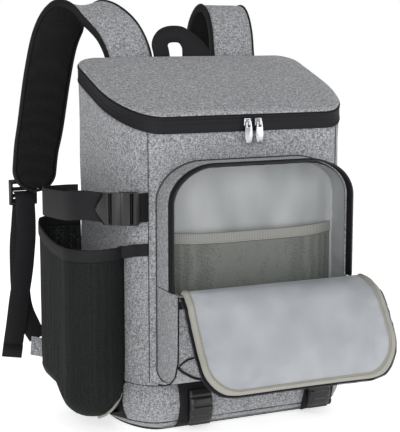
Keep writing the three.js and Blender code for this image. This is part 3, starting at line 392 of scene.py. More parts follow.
def along_rows(rows, share):
    """The values of a table of rows at a share from 0 to 1 of its length, on a smooth curve."""
    spot = share * (len(rows) - 1)
    i = min(int(spot), len(rows) - 2)
    t = spot - i
    p0, p1, p2, p3 = (rows[min(max(i + k, 0), len(rows) - 1)] for k in (-1, 0, 1, 2))
    return [
        0.5 * (2 * b + (c - a) * t + (2 * a - 5 * b + 4 * c - d) * t * t + (3 * b - a - 3 * c + d) * t**3)
        for a, b, c, d in zip(p0, p1, p2, p3)
    ]


def row_at(rows, share):
    """The values of a table of rows at a share from 0 to 1 of its length, on straight lines."""
    spot = share * (len(rows) - 1)
    i = min(int(spot + 1e-6), len(rows) - 2)
    return [between(a, b, spot - i) for a, b in zip(rows[i], rows[i + 1])]


def nearest(rows, share):
    return rows[min(round(share * (len(rows) - 1)), len(rows) - 1)]

# %% [markdown]
# The body is a padded tub. Its plan has long rounded front corners, a quarter ellipse each, and small back
# corners. All heights on its rim rise towards the back with the slope of the lid. These are the same values
# as in the CAD.

# %% The plan of the body
HALF_WIDTH, FRONT, BACK = 0.1575, -0.0905, 0.0905
CORNER_ACROSS, CORNER_BACK, BACK_CORNER = 0.049, 0.092, 0.025
SLOPE = math.tan(math.radians(18.6))
RIM = 0.361


CORNER_STEPS = 20


def plan_stops():
    x, y = HALF_WIDTH - CORNER_ACROSS, FRONT + CORNER_BACK
    bx, by = HALF_WIDTH - BACK_CORNER, BACK - BACK_CORNER
    corners = [
        (-x, y, CORNER_ACROSS, CORNER_BACK, 180), (x, y, CORNER_ACROSS, CORNER_BACK, 270),
        (bx, by, BACK_CORNER, BACK_CORNER, 0), (-bx, by, BACK_CORNER, BACK_CORNER, 90),
    ]
    stops = []
    for cx, cy, rx, ry, start in corners:
        for i in range(CORNER_STEPS + 1):
            angle = math.radians(start + 90 * i / CORNER_STEPS)
            stops.append((cx + rx * math.cos(angle), cy + ry * math.sin(angle)))
    return stops


def measured(points):
    """The points with the length of the path up to each of them."""
    lengths = [0.0]
    for a, b in zip(points, points[1:]):
        lengths.append(lengths[-1] + math.dist(a, b))
    return points, lengths


def plan_ring():
    """Points round the plan from the middle of the back, anticlockwise seen from above."""
    stops = plan_stops()
    start = (0.0, BACK)
    k = len(stops) * 3 // 4
    return [start] + stops[k:] + stops[:k] + [start]


PLAN = measured(plan_ring())
PLAN_LENGTH = PLAN[1][-1]


def plan_at(share, grow=0.0):
    """The point at a share of the way round the plan, moved out by grow, and its outward direction."""
    ring, lengths = PLAN
    reach = (share % 1.0) * lengths[-1] if share < 1 else lengths[-1]
    low, high = 0, len(lengths) - 1
    while high - low > 1:
        middle = (low + high) // 2
        if lengths[middle] <= reach:
            low = middle
        else:
            high = middle
    t = (reach - lengths[low]) / max(lengths[high] - lengths[low], 1e-9)
    ax, ay = ring[low]
    bx, by = ring[high]
    size = math.dist(ring[low], ring[high]) or 1.0
    out = ((by - ay) / size, -(bx - ax) / size)
    return between(ax, bx, t) + out[0] * grow, between(ay, by, t) + out[1] * grow, out

# %% [markdown]
# The body's cloth is one lofted shell. Its rows run from the middle of the underside, over the puffed base
# between two seams, and up the wall to the sloping rim. The wall is dented inwards a little by a smooth
# noise, because foam and cloth are never flat. Solidify then adds the 8 mm of padding on the inside, so the
# tub stays hollow.

# %% Body
BODY_ROWS = [
    (0.0, 0.0, 2.9), (0.5, 0.0, 2.9), (0.93, 0.0, 2.9), (1.0, -13.0, 3.0), (1.0, -8.0, 4.0),
    (1.0, -4.5, 6.0), (1.0, -1.6, 9.0), (1.0, -0.4, 11.2), (1.0, -1.1, 12.0), (1.0, 0.6, 13.2),
    (1.0, 3.2, 18.0), (1.0, 5.6, 25.0), (1.0, 6.9, 33.0), (1.0, 6.6, 41.0), (1.0, 4.6, 49.0),
    (1.0, 1.8, 54.5), (1.0, -0.8, 57.4), (1.0, -1.2, 58.2), (1.0, -0.3, 59.4), (1.0, 0.0, 62.0),
]
BODY_STEPS = 74


def body_point(across, along):
    fixed = len(BODY_ROWS) - 1
    index = along * BODY_STEPS
    if index <= fixed:
        scale, grow, z = row_at(BODY_ROWS, index / fixed)
        rise = 0.0
    else:
        t = (index - fixed) / (BODY_STEPS - fixed)
        scale, grow, z = 1.0, 0.0, between(BODY_ROWS[-1][2], RIM / MM, t)
        rise = t
    x, y, out = plan_at(across, grow * MM)
    x, y = x * scale, y * scale
    height = z * MM + rise * (y - FRONT) * SLOPE
    dent = 0.0
    if rise > 0:
        dent = (ripple((x, y, height), 0.075) - 0.6) * 0.0011 * min(1.0, rise * 8, (1 - rise) * 12 + 0.1)
    elif scale == 1.0:
        dent = (ripple((x, y, height), 0.05) - 0.4) * 0.0009
    return (x + out[0] * dent, y + out[1] * dent, height)


body_cloth = lay_cloth("body_cloth", 220, BODY_STEPS, body_point, (PLAN_LENGTH, 0.46))
apply_modifier(body_cloth, "SOLIDIFY", thickness=0.008, offset=-1)
dress(body_cloth, heather_polyester, "heather_cloth", "body_shell")

# %% [markdown]
# The sole is a thin black sheet under the base. Only its edge shows, as the dark line along the floor.

# %% Sole
SOLE_ROWS = [(0.0, 2.4), (1.0, 2.4), (1.0, 0.1), (0.985, 0.0), (0.0, 0.0)]
SOLE_INSET = 0.0118


def sole_point(across, along):
    x, y, _ = plan_at(across, -SOLE_INSET)
    scale, z = nearest(SOLE_ROWS, along)
    return (x * scale, y * scale, z * MM)


sole = lay_cloth("sole", 120, 4, sole_point, (PLAN_LENGTH, 0.2))
dress(sole, sole_cloth, "sole_cloth", "base_sole")

# %% [markdown]
# The lid is a padded panel that swells from its edge to a low crown. Its rows run from the crown out over
# the round edge and back to the middle underneath, so the panel is closed.

# %% Lid
LID_BASE = RIM + 0.0196
LID_ROWS = [
    (0.0, 9.0), (0.15, 8.95), (0.3, 8.8), (0.45, 8.5), (0.6, 8.1), (0.72, 7.6), (0.82, 7.0), (0.89, 6.3),
    (0.935, 5.5), (0.962, 4.7), (0.98, 3.7), (0.992, 2.6), (0.998, 1.4), (0.997, 0.6), (0.99, 0.1),
    (0.9, 0.05), (0.5, 0.05), (0.0, 0.05),
]


def lid_point(across, along):
    scale, up = row_at(LID_ROWS, along)
    x, y, _ = plan_at(across)
    x, y = x * scale, y * scale
    life = 0.0006 * ripple((x, y, 0.4), 0.07) * min(1.0, up / 5.0)
    return (x, y, LID_BASE + (y - FRONT) * SLOPE + up * MM + life)


lid_panel = lay_cloth(
    "lid_panel", 200, (len(LID_ROWS) - 1) * 2, lambda a, b: lid_point(a, 1 - b), (PLAN_LENGTH, 0.3)
)
dress(lid_panel, heather_polyester, "heather_cloth", "lid")

# %% [markdown]
# The zip of the lid sits in a black tape 19 mm tall, sewn with a narrow turned edge to the body and to the
# lid. The tape runs from one back corner round the front to the other. At the back a grey strip hinges the
# lid.

# %% Zip band and back hinge
BAND_PROFILE = [
    (0.0, -1.6), (0.0, 0.9), (0.06, 1.15), (0.13, 1.05), (0.17, 0.5), (0.3, 0.45), (0.44, 0.55),
    (0.48, 0.2), (0.52, 0.2), (0.56, 0.55), (0.7, 0.45), (0.83, 0.5), (0.87, 1.05), (0.94, 1.15),
    (1.0, 0.9), (1.0, -1.6),
]


def share_at_x(target):
    """How far round the plan the back edge has that X."""
    shares = [i / 2000 for i in range(2000)]
    return min(
        (share for share in shares if plan_at(share)[1] > 0),
        key=lambda share: abs(plan_at(share)[0] - target),
    )


HINGE_RIGHT, HINGE_LEFT = share_at_x(0.131), share_at_x(-0.131)


def band_point(profile, start, end):
    def place(across, along):
        up, out_by = row_at(profile, across)
        x, y, out = plan_at(between(start, end, along), out_by * MM)
        return (x, y, RIM + 0.0003 + up * 0.019 + (y - FRONT) * SLOPE)

    return place


band_end = HINGE_RIGHT + (1 if HINGE_RIGHT < HINGE_LEFT else 0)
band_shape = band_point(BAND_PROFILE, HINGE_LEFT, band_end)
zip_band = lay_cloth("zip_band", len(BAND_PROFILE) - 1, 240, band_shape, (0.022, PLAN_LENGTH * 0.75))
dress(zip_band, zip_tape_cloth, "black_webbing", "lid_zip_tape")

HINGE_PROFILE = [(0.0, -1.6), (0.0, 0.2), (0.1, 0.6), (0.5, 0.7), (0.9, 0.6), (1.0, 0.2), (1.0, -1.6)]
hinge_span = [share - 1 if share >= 0.5 else share for share in (HINGE_RIGHT - 0.002, HINGE_LEFT + 0.002)]
hinge_shape = band_point(HINGE_PROFILE, *hinge_span)
back_hinge = lay_cloth("lid_back_strip", len(HINGE_PROFILE) - 1, 60, hinge_shape, (0.022, 0.262))
dress(back_hinge, heather_polyester, "heather_cloth", "lid_back_hinge")

# %% [markdown]
# Seams show as thin dark lines: two upright seams at the ends of the front panel, one round the base and
# one just over the floor. Each is a thread cord half sunk in the cloth. A curve with a round bevel is laid
# along the path and then made a mesh.

# %% A helper for cords, and the body's seams
def lay_cord(name, points, radius, closed=False, sides=3):
    """A round cord of that radius along the points, as a mesh."""
    curve = bpy.data.curves.new(name, "CURVE")
    curve.dimensions = "3D"
    curve.bevel_depth = radius
    curve.bevel_resolution = sides
    curve.use_fill_caps = True
    spline = curve.splines.new("POLY")
    spline.points.add(len(points) - 1)
    for spot, point in zip(spline.points, points):
        spot.co = (*point, 1)
    spline.use_cyclic_u = closed
    obj = bpy.data.objects.new(name, curve)
    bpy.context.collection.objects.link(obj)
    select_only(obj)
    bpy.ops.object.convert(target="MESH")
    obj = bpy.context.object
    bpy.ops.object.shade_smooth()
    return obj


def join(name, *objs):
    bpy.ops.object.select_all(action="DESELECT")
    for obj in objs:
        obj.select_set(True)
    bpy.context.view_layer.objects.active = objs[0]
    if len(objs) > 1:
        bpy.ops.object.join()
    objs[0].name = objs[0].data.name = name
    return objs[0]


def share_on_front(x):
    shares = [i / 3000 for i in range(3000)]
    return min((abs(plan_at(share)[0] - x), share) for share in shares if plan_at(share)[1] < -0.06)[1]


SEAM_X = 0.1264
upright_seams = []
for sign in (-1, 1):
    share = share_on_front(sign * SEAM_X)
    x, y, out = plan_at(share)
    points = [(x, y, between(0.062, RIM + (y - FRONT) * SLOPE - 0.001, i / 40)) for i in range(41)]
    upright_seams.append(lay_cord("seam", points, 0.0005))
level_seams = []
for z, grow in ((0.0119, -0.0010), (0.0581, -0.0010)):
    points = [(*plan_at(i / 240, grow)[:2], z) for i in range(240)]
    level_seams.append(lay_cord("seam", points, 0.0006, closed=True))
seams = join("body_seams", *upright_seams, *level_seams)
dress(seams, thread, "black_webbing")

# %% [markdown]
# The front pocket has a gusset that stands 33 mm off the body above the fold and 61 mm below it. Its cloth
# is softer than foam, so a copy of the CAD solid is merged, remeshed at 1.7 mm, smoothed until its folds
# are round, and pushed in and out a little by a smooth noise.

# %% Front pocket
def copy_of_node(node, name, merge):
    """A copy of a CAD piece with its doubled points merged, left in edit mode."""
    obj = bpy.data.objects.new(name, frame["nodes"][node].data.copy())
    obj.data.name = name
    bpy.context.collection.objects.link(obj)
    select_only(obj)
    bpy.ops.object.mode_set(mode="EDIT")
    bpy.ops.mesh.select_all(action="SELECT")
    bpy.ops.mesh.remove_doubles(threshold=merge)
    return obj


def soften_copy(node, name, voxel, rounds, wave, depth):
    obj = copy_of_node(node, name, 0.00002)
    bpy.ops.object.mode_set(mode="OBJECT")
    apply_modifier(obj, "REMESH", mode="VOXEL", voxel_size=voxel, use_smooth_shade=True)
    apply_modifier(obj, "SMOOTH", iterations=rounds, factor=0.5)
    places = [vertex.co.copy() for vertex in obj.data.vertices]
    facing = [normal.vector.copy() for normal in obj.data.vertex_normals]
    moved = []
    for spot, normal in zip(places, facing):
        push = ripple(spot, wave, 3.0) * depth
        moved.extend(spot + (Vector((0, -push, 0)) if abs(normal.y) > 0.5 else normal * push * 0.4))
    obj.data.vertices.foreach_set("co", moved)
    obj.data.update()
    return obj


pocket_cloth = soften_copy("pocket_shell", "pocket_cloth", 0.0017, 6, 0.045, 0.0009)
dress(pocket_cloth, heather_polyester, "heather_cloth", "pocket_shell")

# %% [markdown]
# The pocket's opening is an arch. Its outline is kept as a list of points and walked by length, so that the
# lining, the zip tape, the teeth and the seams all follow the same line.

# %% The outline of the front pocket
POCKET_MIDDLE, POCKET_HALF, POCKET_LOW, POCKET_TOP = 0.002, 0.120, 0.061, 0.328
FOLD = 0.181


def pocket_outline(inset):
    """From the left bottom corner, up the left side, over the top and down the right side, as (X, Z)."""
    half, top, low = POCKET_HALF - inset, POCKET_TOP - inset, POCKET_LOW + inset
    rx, rz, r = 0.058 - inset, 0.046 - inset, max(0.018 - inset, 0.002)
    points = []
    for i in range(9):
        angle = math.radians(270 - 90 * i / 8)
        points.append((-half + r + r * math.cos(angle), low + r + r * math.sin(angle)))
    for i in range(25):
        angle = math.radians(180 - 90 * i / 24)
        points.append((-half + rx + rx * math.cos(angle), top - rz + rz * math.sin(angle)))
    points += [(-x, z) for x, z in reversed(points)]
    return [(x + POCKET_MIDDLE, z) for x, z in points]


def walk(path, share):
    """The point at a share of the length of a measured path, and the direction there."""
    points, lengths = path
    reach = min(max(share, 0.0), 1.0) * lengths[-1]
    i = next((k for k in range(1, len(lengths)) if lengths[k] >= reach), len(lengths) - 1)
    t = (reach - lengths[i - 1]) / max(lengths[i] - lengths[i - 1], 1e-9)
    spot = [between(a, b, t) for a, b in zip(points[i - 1], points[i])]
    size = math.dist(points[i - 1], points[i]) or 1.0
    return spot, [(b - a) / size for a, b in zip(points[i - 1], points[i])]


DEPTH_ROWS = [
    (0.061, 0.0), (0.0616, 0.0061), (0.0652, 0.0214), (0.0718, 0.0378), (0.0826, 0.0512), (0.103, 0.0598),
    (0.133, 0.061), (0.181, 0.061),
]


def depth_at(z):
    for (z0, d0), (z1, d1) in zip(DEPTH_ROWS, DEPTH_ROWS[1:]):
        if z <= z1:
            return between(d0, d1, min(max((z - z0) / (z1 - z0), 0), 1))
    return DEPTH_ROWS[-1][1]

# %% [markdown]
# The lining is one dish of coated cloth: it covers the pocket's back and turns forward along the gusset to
# the zip. It hangs loose, so it puckers at the top corners and has soft upright folds along its sides.

# %% Lining of the front pocket
LINING_IN = 0.0046
lining_path = measured(pocket_outline(LINING_IN))


def lining_point(across, along):
    (x, z), (dx, dz) = walk(lining_path, across)
    reach = 0.033 if z > FOLD + 0.001 else max(depth_at(z) - 0.0055, 0.001)
    if along < 0.5:
        t = (along / 0.5) ** 0.8
        cx, cz = POCKET_MIDDLE, 0.19
        x, z = between(cx, x, t), between(cz, z, t)
        near_edge = ease((t - 0.55) / 0.45)
        bulge = 0.0016 * (0.5 + 0.5 * ripple((x, 0, z * 0.6), 0.028, 2.0)) * near_edge
        return (x, FRONT - 0.0016 - bulge - 0.0025 * ease((t - 0.93) / 0.07), z)
    t = (along - 0.5) / 0.5
    inward = 0.0011 * max(ripple((x, t * 0.01, z), 0.013, 5.0) + 0.7, 0.0) * (0.4 + 0.6 * (1 - t))
    return (x + dz * inward, FRONT - 0.0042 - (reach - 0.0045) * t, z - dx * inward)


lining_dish = lay_cloth("lining_dish", 260, 60, lining_point, (0.9, 0.2))
dress(lining_dish, pocket_lining_shaded, "lining_foil", "pocket_lining")


def lining_front_point(across, along):
    z = between(0.066, FOLD - 0.0015, along)
    half = POCKET_HALF - 0.006 - max(0.0, 0.018 - (z - 0.066)) * 0.5
    x = POCKET_MIDDLE + between(-half, half, across)
    y = FRONT - max(depth_at(z - 0.003) - 0.0052, 0.0045) + 0.0008 * (ripple((x, 0, z), 0.03, 8.0) - 0.3)
    return (x, y, z)


lining_front = lay_cloth("lining_of_front_panel", 80, 40, lining_front_point, (0.23, 0.12))
dress(lining_front, pocket_lining_shaded, "lining_foil")

# %% [markdown]
# The zip of the pocket is open: its black tape stands round the arch, 12 mm wide, with one row of nylon
# teeth on its front edge. One tooth is modelled as a small block of a few faces and copied every 2 mm, all
# copies in one mesh.

# %% Zip tape and teeth
def zip_teeth(name, spots, size):
    """One small tooth at each place, with its directions along the zip and off the tape, all in one piece."""
    bpy.ops.object.select_all(action="DESELECT")
    bpy.ops.mesh.primitive_cube_add(size=1)
    tooth = bpy.context.object
    bpy.ops.object.mode_set(mode="EDIT")
    bpy.ops.mesh.select_all(action="SELECT")
    bpy.ops.mesh.bevel(offset=0.22, segments=1)
    bpy.ops.object.mode_set(mode="OBJECT")
    shape = [vertex.co.copy() for vertex in tooth.data.vertices]
    faces = [tuple(p.vertices) for p in tooth.data.polygons]
    points, polygons = [], []
    for place, along, off in spots:
        along, off = Vector(along).normalized(), Vector(off).normalized()
        side = along.cross(off)
        base = len(points)
        points += [
            Vector(place) + along * v.x * size[0] + off * v.y * size[1] + side * v.z * size[2]
            for v in shape
        ]
        polygons += [tuple(i + base for i in face) for face in faces]
    tooth.data.clear_geometry()
    tooth.data.from_pydata(points, [], polygons)
    tooth.name = tooth.data.name = name
    return tooth


arch = [p for p in pocket_outline(0.0002) if p[1] > FOLD]
tape_path = measured([(arch[0][0], FOLD + 0.0006)] + arch + [(arch[-1][0], FOLD + 0.0006)])


def tape_point(profile):
    def place(across, along):
        (x, z), (dx, dz) = walk(tape_path, along)
        depth, lift = row_at(profile, across)
        return (x - dz * lift * MM, FRONT - depth * MM, z + dx * lift * MM)

    return place


TAPE_PROFILE = [
    (33.4, -1.8), (33.4, 0.5), (34.4, 0.9), (36.5, 0.9), (37.2, 0.3), (44.0, 0.1), (45.2, -0.2),
    (45.2, -1.6), (44, -1.9), (33.4, -1.8),
]
arch_tape = lay_cloth(
    "pocket_zip_tape_cloth", len(TAPE_PROFILE) - 1, 220, tape_point(TAPE_PROFILE), (0.026, 0.72), caps=True
)
dress(arch_tape, zip_tape_cloth, "black_webbing", "pocket_zip_tape")
ARCH_TEETH, FLAP_TEETH = 330, 225
spots = []
for i in range(ARCH_TEETH):
    (x, z), (dx, dz) = walk(tape_path, (i + 0.5) / ARCH_TEETH)
    if z > FOLD + 0.002:
        spots.append(((x + dz * 0.0009, FRONT - 0.0459, z - dx * 0.0009), (dx, 0, dz), (0, -1, 0)))
arch_teeth = zip_teeth("pocket_zip_teeth", spots, (0.0012, 0.0018, 0.0024))
dress(arch_teeth, acetal, "black_plastic")

# %% [markdown]
# Inside the pocket a smaller one of fine net is held up by a grey elastic. The elastic sags in the middle,
# and both bow forward from the back.

# %% Inner net and elastic
NET_HALF = POCKET_HALF - 0.0054


def net_point(low, high, out_by):
    def place(across, along):
        share = between(-1, 1, across)
        bow = 1 - share**4
        level = between(low, high, along)
        z = level - 0.004 * bow * min(1.0, max(0.0, (level - 0.12) / 0.08))
        rise = min(1.0, (z - 0.098) / 0.04)
        fold = 0.0008 * ripple((share, 0, z * 4), 0.09, 4.0) * (1 - along * 0.5)
        forward = (0.001 + (out_by - 0.001) * rise + fold) * bow
        return (POCKET_MIDDLE + share * NET_HALF, FRONT - 0.0026 - forward, z)

    return place


inner_sheet = lay_cloth("inner_net_sheet", 90, 50, net_point(0.099, 0.2335, 0.008), (0.229, 0.135))
apply_modifier(inner_sheet, "SOLIDIFY", thickness=0.0006, offset=0)
dress(inner_sheet, inner_net, "grey_mesh", "pocket_inner_mesh")
elastic_sheet = lay_cloth("inner_elastic_band", 90, 8, net_point(0.2338, 0.2455, 0.0085), (0.229, 0.012))
apply_modifier(elastic_sheet, "SOLIDIFY", thickness=0.0016, offset=0)
dress(elastic_sheet, elastic_grey, "grey_elastic", "pocket_inner_elastic")
edge_line = net_point(0.2338, 0.2455, 0.0088)
edge_points = [tuple(Vector(edge_line(i / 80, 0.02)) + Vector((0, -0.0007, 0))) for i in range(81)]
elastic_edge = lay_cord("inner_elastic_edge", edge_points, 0.0008)
dress(elastic_edge, binding_light, "grey_elastic")

# %% [markdown]
# The flap is folded forward over the front panel and hangs with its lining outwards. Two curves give its
# side view at its left and right edge; it hangs deeper on the right. The lining puckers along the binding,
# where the tape is sewn on a little tight, and the middle has long soft folds.

# %% Shape of the flap
FLAP_MIDDLE, FLAP_HALF, FLAP_LENGTH, FLAP_CORNER = 0.007, 0.120, 0.140, 0.042
FLAP_ROWS = [
    (60, 184, 60.5, 184), (69, 181, 80, 181.5), (79, 169, 97, 175), (89, 150, 112, 160.5),
    (102, 129, 124, 143), (115, 111, 135, 124), (125, 94, 143, 104.5), (133, 79, 149, 83),
]


def flap_base(across, down):
    inside = min(down, 1.0)
    row = along_rows(FLAP_ROWS, inside)
    if down > 1.0:
        before = along_rows(FLAP_ROWS, 0.98)
        row = [b + (b - a) / 0.02 * (down - 1.0) for a, b in zip(before, row)]
    share = (across + 1) / 2
    out, up = between(row[0], row[2], share), between(row[1], row[3], share)
    y = FRONT - out * MM + 0.004 * (1 - across * across) * inside
    return Vector((FLAP_MIDDLE + across * FLAP_HALF, y, up * MM))


def flap_point(across, down, lift):
    """across -1 to 1, down 0 to 1 from the hinge, lift in metres towards the lining side."""
    here = flap_base(across, down)
    along = flap_base(across, down + 0.02) - flap_base(across, max(down - 0.02, 0.0))
    side = flap_base(across + 0.02, down) - flap_base(across - 0.02, down)
    normal = along.cross(side).normalized()
    edge = max(abs(across), down) ** 6
    folds = 0.0016 * ripple((across * 1.6, down * 0.45, 0.2), 0.42, 1.0) * ease(down * 4)
    flat_place = (across * FLAP_HALF, down * FLAP_LENGTH, 0.5)
    pucker = 0.0016 * ripple(flat_place, 0.012, 6.0) * edge * ease(down * 5)
    return here + normal * (lift + folds + pucker)


def flap_half(down, inset=0.0):
    length = FLAP_LENGTH - inset
    left = length - down * FLAP_LENGTH
    r, half = FLAP_CORNER - inset, FLAP_HALF - inset
    if left >= r:
        return half
    left = max(left, 0.0)
    return half - r + math.sqrt(max(r * r - (r - left) ** 2, 0.0))


def flap_sheet(lift):
    def place(across, along):
        down = (1 - (1 - along) ** 1.5) * (1 - 0.002 / FLAP_LENGTH)
        half = flap_half(down, 0.002) / FLAP_HALF
        return flap_point(between(-half, half, across), down, lift)

    return place

# %% [markdown]
# The flap has two sheets, the lining and the heather cloth, 1.6 mm each. They lie on either side of the
# same shape.

# %% Lining and outer cloth of the flap
flap_lining = lay_cloth("flap_lining", 130, 90, flap_sheet(0.0019), (0.24, 0.14))
apply_modifier(flap_lining, "SOLIDIFY", thickness=0.0016, offset=1)
dress(flap_lining, lining_flap, "lining_foil", "pocket_flap")
flap_outer = lay_cloth("flap_outer_cloth", 110, 70, flap_sheet(-0.0019), (0.24, 0.14))
apply_modifier(flap_outer, "SOLIDIFY", thickness=0.0016, offset=-1)
dress(flap_outer, heather_polyester, "heather_cloth")

# %% [markdown]
# A light binding wraps the free edges of the flap, and the other half of the zip is sewn under it. Both
# follow one line: down the left edge, round the corners and up the right edge. The binding's profile is a
# narrow U.

# %% Binding and zip tape of the flap
def flap_edge(inset, start):
    length, half, r = FLAP_LENGTH - inset, FLAP_HALF - inset, FLAP_CORNER - inset
    points = [(-half, between(start, length - r, i / 24)) for i in range(24)]
    for i in range(17):
        angle = math.pi / 2 * i / 16
        points.append((-half + r - r * math.cos(angle), length - r + r * math.sin(angle)))
    points += [(between(-half + r, 0, i / 16), length) for i in range(1, 17)]
    return points + [(-x, d) for x, d in reversed(points[:-1])]


def edge_strip(profile, start):
    paths = [measured(flap_edge(inset * MM, start)) for inset, _ in profile]

    def place(across, along):
        (points, _), (_, lift) = nearest(list(zip(paths, profile)), across)
        spot = along * (len(points) - 1)
        k = min(int(spot), len(points) - 2)
        x, d = (between(a, b, spot - k) for a, b in zip(points[k], points[k + 1]))
        return flap_point(x / FLAP_HALF, d / FLAP_LENGTH, lift * MM)

    return place


BINDING_PROFILE = [
    (7.6, 2.4), (7.0, 3.2), (5.6, 3.6), (3.8, 3.8), (1.8, 3.5), (0.3, 2.9), (-0.6, 1.8), (-0.9, 0.2),
    (-0.5, -1.2), (0.5, -2.2), (2, -2.4),
]
flap_binding = lay_cloth(
    "flap_binding_tape", len(BINDING_PROFILE) - 1, 260, edge_strip(BINDING_PROFILE, 0.002), (0.02, 0.47)
)
dress(flap_binding, binding_light, "light_binding", "flap_binding")
stitch_line = edge_strip([(5.4, 3.9)] * 2, 0.004)
binding_stitch = lay_cord(
    "flap_binding_stitch", [tuple(stitch_line(0, i / 240)) for i in range(241)], 0.0003, sides=2
)
dress(binding_stitch, thread_pale, "light_binding")
FLAP_TAPE_PROFILE = [
    (7, -2.7), (5, -3.0), (0, -3.1), (-3.4, -2.9), (-3.8, -3.1), (-3.4, -3.7), (0, -3.9), (5, -3.8),
    (7, -3.4), (7, -2.7),
]
flap_tape = lay_cloth(
    "flap_zip_tape_cloth", len(FLAP_TAPE_PROFILE) - 1, 200, edge_strip(FLAP_TAPE_PROFILE, 0.012),
    (0.024, 0.45), caps=True,
)
dress(flap_tape, zip_tape_cloth, "black_webbing", "flap_zip_tape")
teeth_line = measured([tuple(edge_strip([(-4.4, -3.3)] * 2, 0.012)(0, i / 160)) for i in range(161)])
spots = []
for i in range(FLAP_TEETH):
    spot, along = walk(teeth_line, (i + 0.5) / FLAP_TEETH)
    spots.append((spot, along, (0, -0.3, -1)))
flap_teeth = zip_teeth("flap_zip_teeth", spots, (0.0012, 0.0018, 0.0022))
dress(flap_teeth, acetal, "black_plastic")

# %% [markdown]
# The piping on the front panel is a black cord that starts at the gusset, curves down round each lower
# corner and runs along the bottom. It lies on the cloth, so its depth comes from the same side view.

# %% Piping and end tabs
PIPING = [
    (-0.985, 97), (-0.95, 92), (-0.85, 84), (-0.72, 76.5), (-0.55, 71.5), (0, 70), (0.55, 71.5),
    (0.72, 76.5), (0.85, 84), (0.95, 92), (0.985, 97),
]


def on_panel(x, z, lift):
    slope = (depth_at(z + 0.002) - depth_at(z - 0.002)) / 0.004
    out = Vector((0, -1, -slope)).normalized()
    return Vector((x, FRONT - depth_at(z), z)) + out * lift


piping_points = []
for i in range(121):
    across, z = along_rows(PIPING, i / 120)
    piping_points.append(tuple(on_panel(POCKET_MIDDLE + across * POCKET_HALF, z * MM, 0.0016)))
piping = lay_cord("panel_piping", piping_points, 0.0015, sides=4)
dress(piping, binding_tape, "black_webbing", "pocket_piping")

branch_points = [
    tuple(on_panel(x * MM, z * MM, 0.0014))
    for x, z in ((-115.5, 99), (-112, 102.5), (-106, 105.5), (-97.5, 107))
]
branch = lay_cord("panel_piping_end", branch_points, 0.0011)
edge_points = []
for sign in (-1, 1):
    side_x = POCKET_MIDDLE + sign * (POCKET_HALF - 0.0003)
    heights = [between(0.0612, FOLD - 0.001, (i / 60) ** 1.6) for i in range(61)]
    edge_points.append([(side_x, FRONT - depth_at(z) - 0.0002, z) for z in heights])
edge_cords = [lay_cord("panel_edge_piping", points, 0.0009) for points in edge_points]
dress(join("panel_edge_cords", branch, *edge_cords), binding_tape, "black_webbing")


def wall_y(x):
    """The Y of the front wall of the body at that X."""
    past = max(abs(x) - (HALF_WIDTH - CORNER_ACROSS), 0.0) / CORNER_ACROSS
    return FRONT + CORNER_BACK * (1 - math.sqrt(max(1 - past * past, 0.0)))


foot_line = [(x, wall_y(x) - 0.0004, z) for x, z in pocket_outline(-0.0006)]
foot_seam = lay_cord("pocket_foot_seam", foot_line, 0.0006)
fold_seams = []
for sign in (-1, 1):
    side_x = POCKET_MIDDLE + sign * (POCKET_HALF + 0.0001)
    fold_seams.append(
        lay_cord("fold_seam", [(side_x, FRONT - 0.045 * i / 20, FOLD) for i in range(1, 21)], 0.0005)
    )
dress(join("pocket_seams", foot_seam, *fold_seams), thread, "black_webbing")


def copy_with_round_edges(node, name, width):
    """A merged copy of a hard CAD piece with its edges bevelled."""
    obj = copy_of_node(node, name, 0.00001)
    bpy.ops.mesh.dissolve_limited(angle_limit=math.radians(2))
    bpy.ops.object.mode_set(mode="OBJECT")
    limits = {"limit_method": "ANGLE", "angle_limit": math.radians(35), "use_clamp_overlap": True}
    apply_modifier(obj, "BEVEL", width=width, segments=2, **limits)
    select_only(obj)
    bpy.ops.object.shade_smooth_by_angle(angle=math.radians(40))
    return obj


for side in ("left", "right"):
    tab = copy_with_round_edges(f"zip_end_tab_{side}", f"zip_end_tape_{side}", 0.0005)
    dress(tab, binding_tape, "black_webbing", f"zip_end_tab_{side}")

# %% [markdown]
# The side buckle, the ladder locks, the zip sliders and the pulls are already right in the CAD. Moulded and
# cast parts have no sharp edges, so each is copied and its edges are rounded.

# %% Buckles, locks, sliders and pulls
for node, width in (
    ("side_buckle_socket", 0.0011), ("side_buckle_plug", 0.0011), ("ladder_lock_left", 0.0012),
    ("ladder_lock_right", 0.0012),
):
    dress(copy_with_round_edges(node, node + "_moulded", width), acetal, "black_plastic", node)
for side in ("left", "right"):
    dress(
        copy_with_round_edges(f"zip_slider_{side}", f"zip_slider_{side}_cast", 0.0004), nickel,
        "zip_metal", f"zip_slider_{side}",
    )
    pull = copy_with_round_edges(f"zip_pull_{side}", f"zip_pull_{side}_cast", 0.0004)
    dress(pull, nickel, "zip_metal", f"zip_pull_{side}", body=f"pull_{side}")

# %% [markdown]
# The side pocket is a net bag of two round lobes, one behind the other. Its plan goes from the body round
# two circles and back. The rows start underneath at the body, go out over the rounded bottom edge and up to
# the elastic rim. The net gathers near the bottom. A black sheet fills the dark corner under it, and a light
# strip runs in front.

# %% Side pocket
LOBE_X, LOBE_FRONT, LOBE_BACK, LOBE_RADIUS = -0.1832, -0.044, 0.041, 0.036
ROUND_IN, ROUND_UP = 0.028, 0.025
ROUND_ROWS = [
    (1, 0), (0.8, 0.02), (0.62, 0.08), (0.43, 0.19), (0.27, 0.34), (0.15, 0.5), (0.07, 0.68), (0.02, 0.85),
    (0, 1),
]
PUFF = [(12, 0.0), (23.5, 0.7), (35, 1.0), (46.5, 0.75), (58, 0.0)]


def puff_at(z):
    for (z0, p0), (z1, p1) in zip(PUFF, PUFF[1:]):
        if z <= z1:
            return between(p0, p1, min(max((z - z0) / (z1 - z0), 0), 1))
    return 0.0


